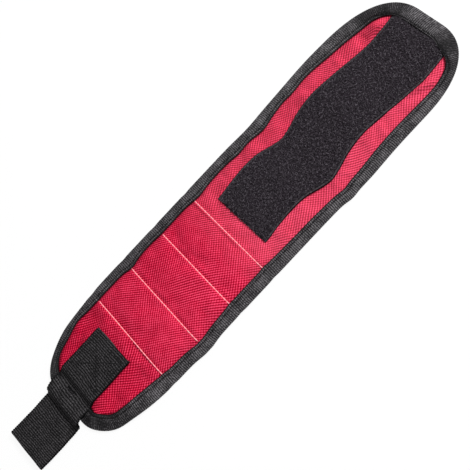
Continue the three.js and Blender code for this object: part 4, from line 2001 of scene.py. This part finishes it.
        tape = cloth_grid("hook_tape_field", along, across, place)
        finish_with(tape, "SOLIDIFY", thickness=self.hook_base * MM, offset=-1.0)
        bpy.ops.object.select_all(action="DESELECT")
        bpy.ops.mesh.primitive_cone_add(
            vertices=6,
            radius1=self.hook_foot * MM,
            radius2=self.hook_head * MM,
            depth=self.hook_height * MM,
        )
        stem = bpy.context.object
        first, last = self.hook_margins
        frames = []
        for row, x in enumerate(np.arange(self.hook_start + first, self.hook_end - last, self.hook_pitch)):
            shift = 0.5 * self.hook_pitch * (row % 2)
            z = float(self.top(x)) - self.thickness - self.hook_drop
            start = -self.hook_half_width + first + shift
            for side in np.arange(start, self.hook_half_width - last, self.hook_pitch):
                spot = Vector((x * MM, (float(self.middle(x)) + side) * MM, z * MM))
                frames.append(Matrix.Translation(spot) @ Matrix.Rotation(math.pi, 4, "X"))
        tape = joined_to(tape, copies(stem, frames, "hook_stems"))
        smooth_shaded(tape)
        coat(tape, self.hook)
        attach(tape, "strap_tail")
        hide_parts("hook_tape")
        return tape

    def sewn_square(self) -> bpy.types.Object:
        """A square with a cross in black thread that holds the strap to the band.

        Returns:
            The finished stitches.
        """
        low, high = self.square_start, self.square_end
        reach = self.half_width - self.square_inset
        corners = [(low, -reach), (high, -reach), (high, reach), (low, reach)]
        runs = [*zip(corners, corners[1:] + corners[:1]), (corners[0], corners[2]), (corners[1], corners[3])]
        frames = []
        for start, end in runs:
            count = int(round(math.dist(start, end) / self.square_pitch))
            for step in range(count):
                share = np.array([step + self.square_gap, step + 1.0 - self.square_gap]) / count
                x = start[0] + (end[0] - start[0]) * share
                side = start[1] + (end[1] - start[1]) * share
                skewed, y, _z = self.face(x, side)
                ends = np.stack([skewed, y, self.top(x) + self.square_stand], axis=1)
                frames.append(frame_at(*ends))
        square = copies(stitch_model(self.square_stitch, self.square_thick), frames, "strap_sewn_square")
        coat(square, self.thread)
        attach(square, "tab_end")
        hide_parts("box_stitch")
        return square


# The studio


@dataclass
class Studio:
    """A pale floor, soft light and the camera at the photograph's angle."""

    image: float = 470.0
    focal: float = 680.0
    sensor: float = 36.0
    elevation: float = 68.29
    azimuth: float = 0.81
    roll: float = 47.64
    distance: float = 393.3
    target: tuple[float, float, float] = (2.59, -3.89, 3.0)
    world_level: float = 0.36
    key_level: float = 31.5
    key_from: tuple[float, float, float] = (0.7, -0.06, 0.62)
    key_reach: float = 1.6
    key_size: float = 0.6
    floor_size: float = 4.0
    floor_colour: str = "#fcfcfc"
    floor_shown: float = 0.09
    floor_range: Limits = (0.25, 0.6, 1.0, 0.0)
    nearest: float = 0.01

    def build(self) -> None:
        """Sets up everything round the object."""
        self.camera()
        self.world()
        self.key_light()
        self.floor()

    def camera(self) -> None:
        """Looks down on the band from its near side, rolled as in the photograph."""
        rise = math.radians(self.elevation)
        swing = math.radians(self.azimuth)
        turn = math.radians(self.roll)
        right = Vector((math.cos(swing), math.sin(swing), 0.0))
        back = Vector((math.sin(swing) * math.cos(rise), -math.cos(swing) * math.cos(rise), math.sin(rise)))
        up = back.cross(right)
        rolled_right = math.cos(turn) * right - math.sin(turn) * up
        rolled_up = math.sin(turn) * right + math.cos(turn) * up
        data = bpy.data.cameras.new("camera")
        data.sensor_width = self.sensor
        data.lens = self.focal / self.image * self.sensor
        data.clip_start = self.nearest
        camera = bpy.data.objects.new("camera", data)
        bpy.context.scene.collection.objects.link(camera)
        frame = Matrix((rolled_right, rolled_up, back)).transposed().to_4x4()
        frame.translation = (Vector(self.target) + back * self.distance) * MM
        camera.matrix_world = frame
        bpy.context.scene.camera = camera

    def world(self) -> None:
        """White behind everything, and an even dimmer light on the object."""
        world = bpy.data.worlds.new("studio")
        bpy.context.scene.world = world
        world.use_nodes = True
        tree = world.node_tree
        tree.nodes.clear()
        path = add(tree, "ShaderNodeLightPath")
        rays = [path.outputs[name] for name in ("Is Camera Ray", "Is Glossy Ray", "Is Transmission Ray")]
        seen = add(tree, MATH, {0: rays[0], 1: rays[1]}, operation="MAXIMUM")
        seen = add(tree, MATH, {0: seen, 1: rays[2]}, operation="MAXIMUM")
        white = linear("#ffffff")
        lit = add(tree, "ShaderNodeBackground", {"Color": white, "Strength": self.world_level})
        shown = add(tree, "ShaderNodeBackground", {"Color": white, "Strength": 1.0})
        mix = add(tree, "ShaderNodeMixShader", {0: seen, 1: lit, 2: shown})
        add(tree, "ShaderNodeOutputWorld", {"Surface": mix})

    def key_light(self) -> None:
        """A square soft light that faces the band, low over its tip."""
        data = bpy.data.lights.new("key_light", "AREA")
        data.energy = self.key_level
        data.size = self.key_size
        lamp = bpy.data.objects.new("key_light", data)
        bpy.context.scene.collection.objects.link(lamp)
        away = Vector(self.key_from).normalized()
        facing = away.to_track_quat("Z", "Y").to_matrix().to_4x4()
        lamp.matrix_world = Matrix.Translation(away * self.key_reach) @ facing

    def floor(self) -> None:
        """A pale floor that keeps a faint shadow, fades out to white and shows what is folded below it."""
        bpy.ops.object.select_all(action="DESELECT")
        bpy.ops.mesh.primitive_plane_add(size=self.floor_size)
        floor = rename(bpy.context.object, "floor")
        material, tree = new_material("painted_floor")
        path = add(tree, "ShaderNodeLightPath")
        pale = add(tree, "ShaderNodeBsdfDiffuse", {"Color": linear(self.floor_colour)})
        clear = add(tree, "ShaderNodeBsdfTransparent")
        camera_ray = path.outputs["Is Camera Ray"]
        shown = add(tree, MATH, {0: camera_ray, 1: self.floor_shown - 1.0, 2: 1.0}, operation="MULTIPLY_ADD")
        below = add(tree, "ShaderNodeNewGeometry").outputs["Backfacing"]
        passing = add(tree, MATH, {0: path.outputs["Is Shadow Ray"], 1: below}, operation="MAXIMUM")
        stopped = add(tree, MATH, {0: 1.0, 1: passing}, operation="SUBTRACT")
        shown = add(tree, MATH, {0: shown, 1: stopped}, operation="MULTIPLY")
        place = add(tree, "ShaderNodeTexCoord").outputs["Object"]
        away = add(tree, "ShaderNodeVectorMath", {0: place}, operation="LENGTH").outputs["Value"]
        faded = add(tree, RANGE, ranged(away, self.floor_range), interpolation_type="SMOOTHSTEP")
        shown = add(tree, MATH, {0: shown, 1: faded}, operation="MULTIPLY")
        mix = add(tree, "ShaderNodeMixShader", {0: shown, 1: clear, 2: pale})
        add(tree, SURFACE, {"Surface": mix})
        coat(floor, material)


def dress_magnets(nodes: dict[str, bpy.types.Object], material: bpy.types.Material) -> None:
    """Gives the magnets' own solids their plating.

    Args:
        nodes: the solids by name.
        material: the plating.
    """
    for name, node in nodes.items():
        if name.startswith("magnet"):
            coat(node, material)
            LOG.info("%s: plated", name)


def main() -> None:
    """Builds the studio and every piece of the band."""
    logging.basicConfig(level=logging.INFO, format="%(message)s")
    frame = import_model()
    bpy.context.scene.view_settings.view_transform = "Standard"
    Studio().build()
    band = Band()
    black_thread = BLACK_THREAD.material()
    pale_thread = PALE_THREAD.material()
    grosgrain = GROSGRAIN.material()
    webbing = WEBBING.material()
    woven = WovenPolyester().material()
    mesh = SpacerMesh().material()
    loop_ground = LoopGround().material()
    loop_yarn = LoopYarn().material()
    makers = (
        OuterPanel(band, woven, Slot.OUTER, "panel_cloth", thickness=0.5, fill=0.5),
        Lining(band, mesh, Slot.LINING, "lining_cloth", thickness=0.8, fill=0.5),
        EdgeBinding(band, grosgrain, Slot.BINDING, "binding_cloth", thickness=0.8, thread=black_thread),
        LoopPatch(band, loop_ground, Slot.LOOP, "patch_cloth", thickness=1.2, yarn=loop_yarn),
        PocketSeams(band, pale_thread),
        ClosingStrap(band, webbing, NylonHook().material(), black_thread),
    )
    for maker in makers:
        for piece in maker.build():
            LOG.info("%s: %d faces", piece.name, len(piece.data.polygons))
    dress_magnets(frame["nodes"], NickelPlate().material())


if __name__ == "__main__":
    main()
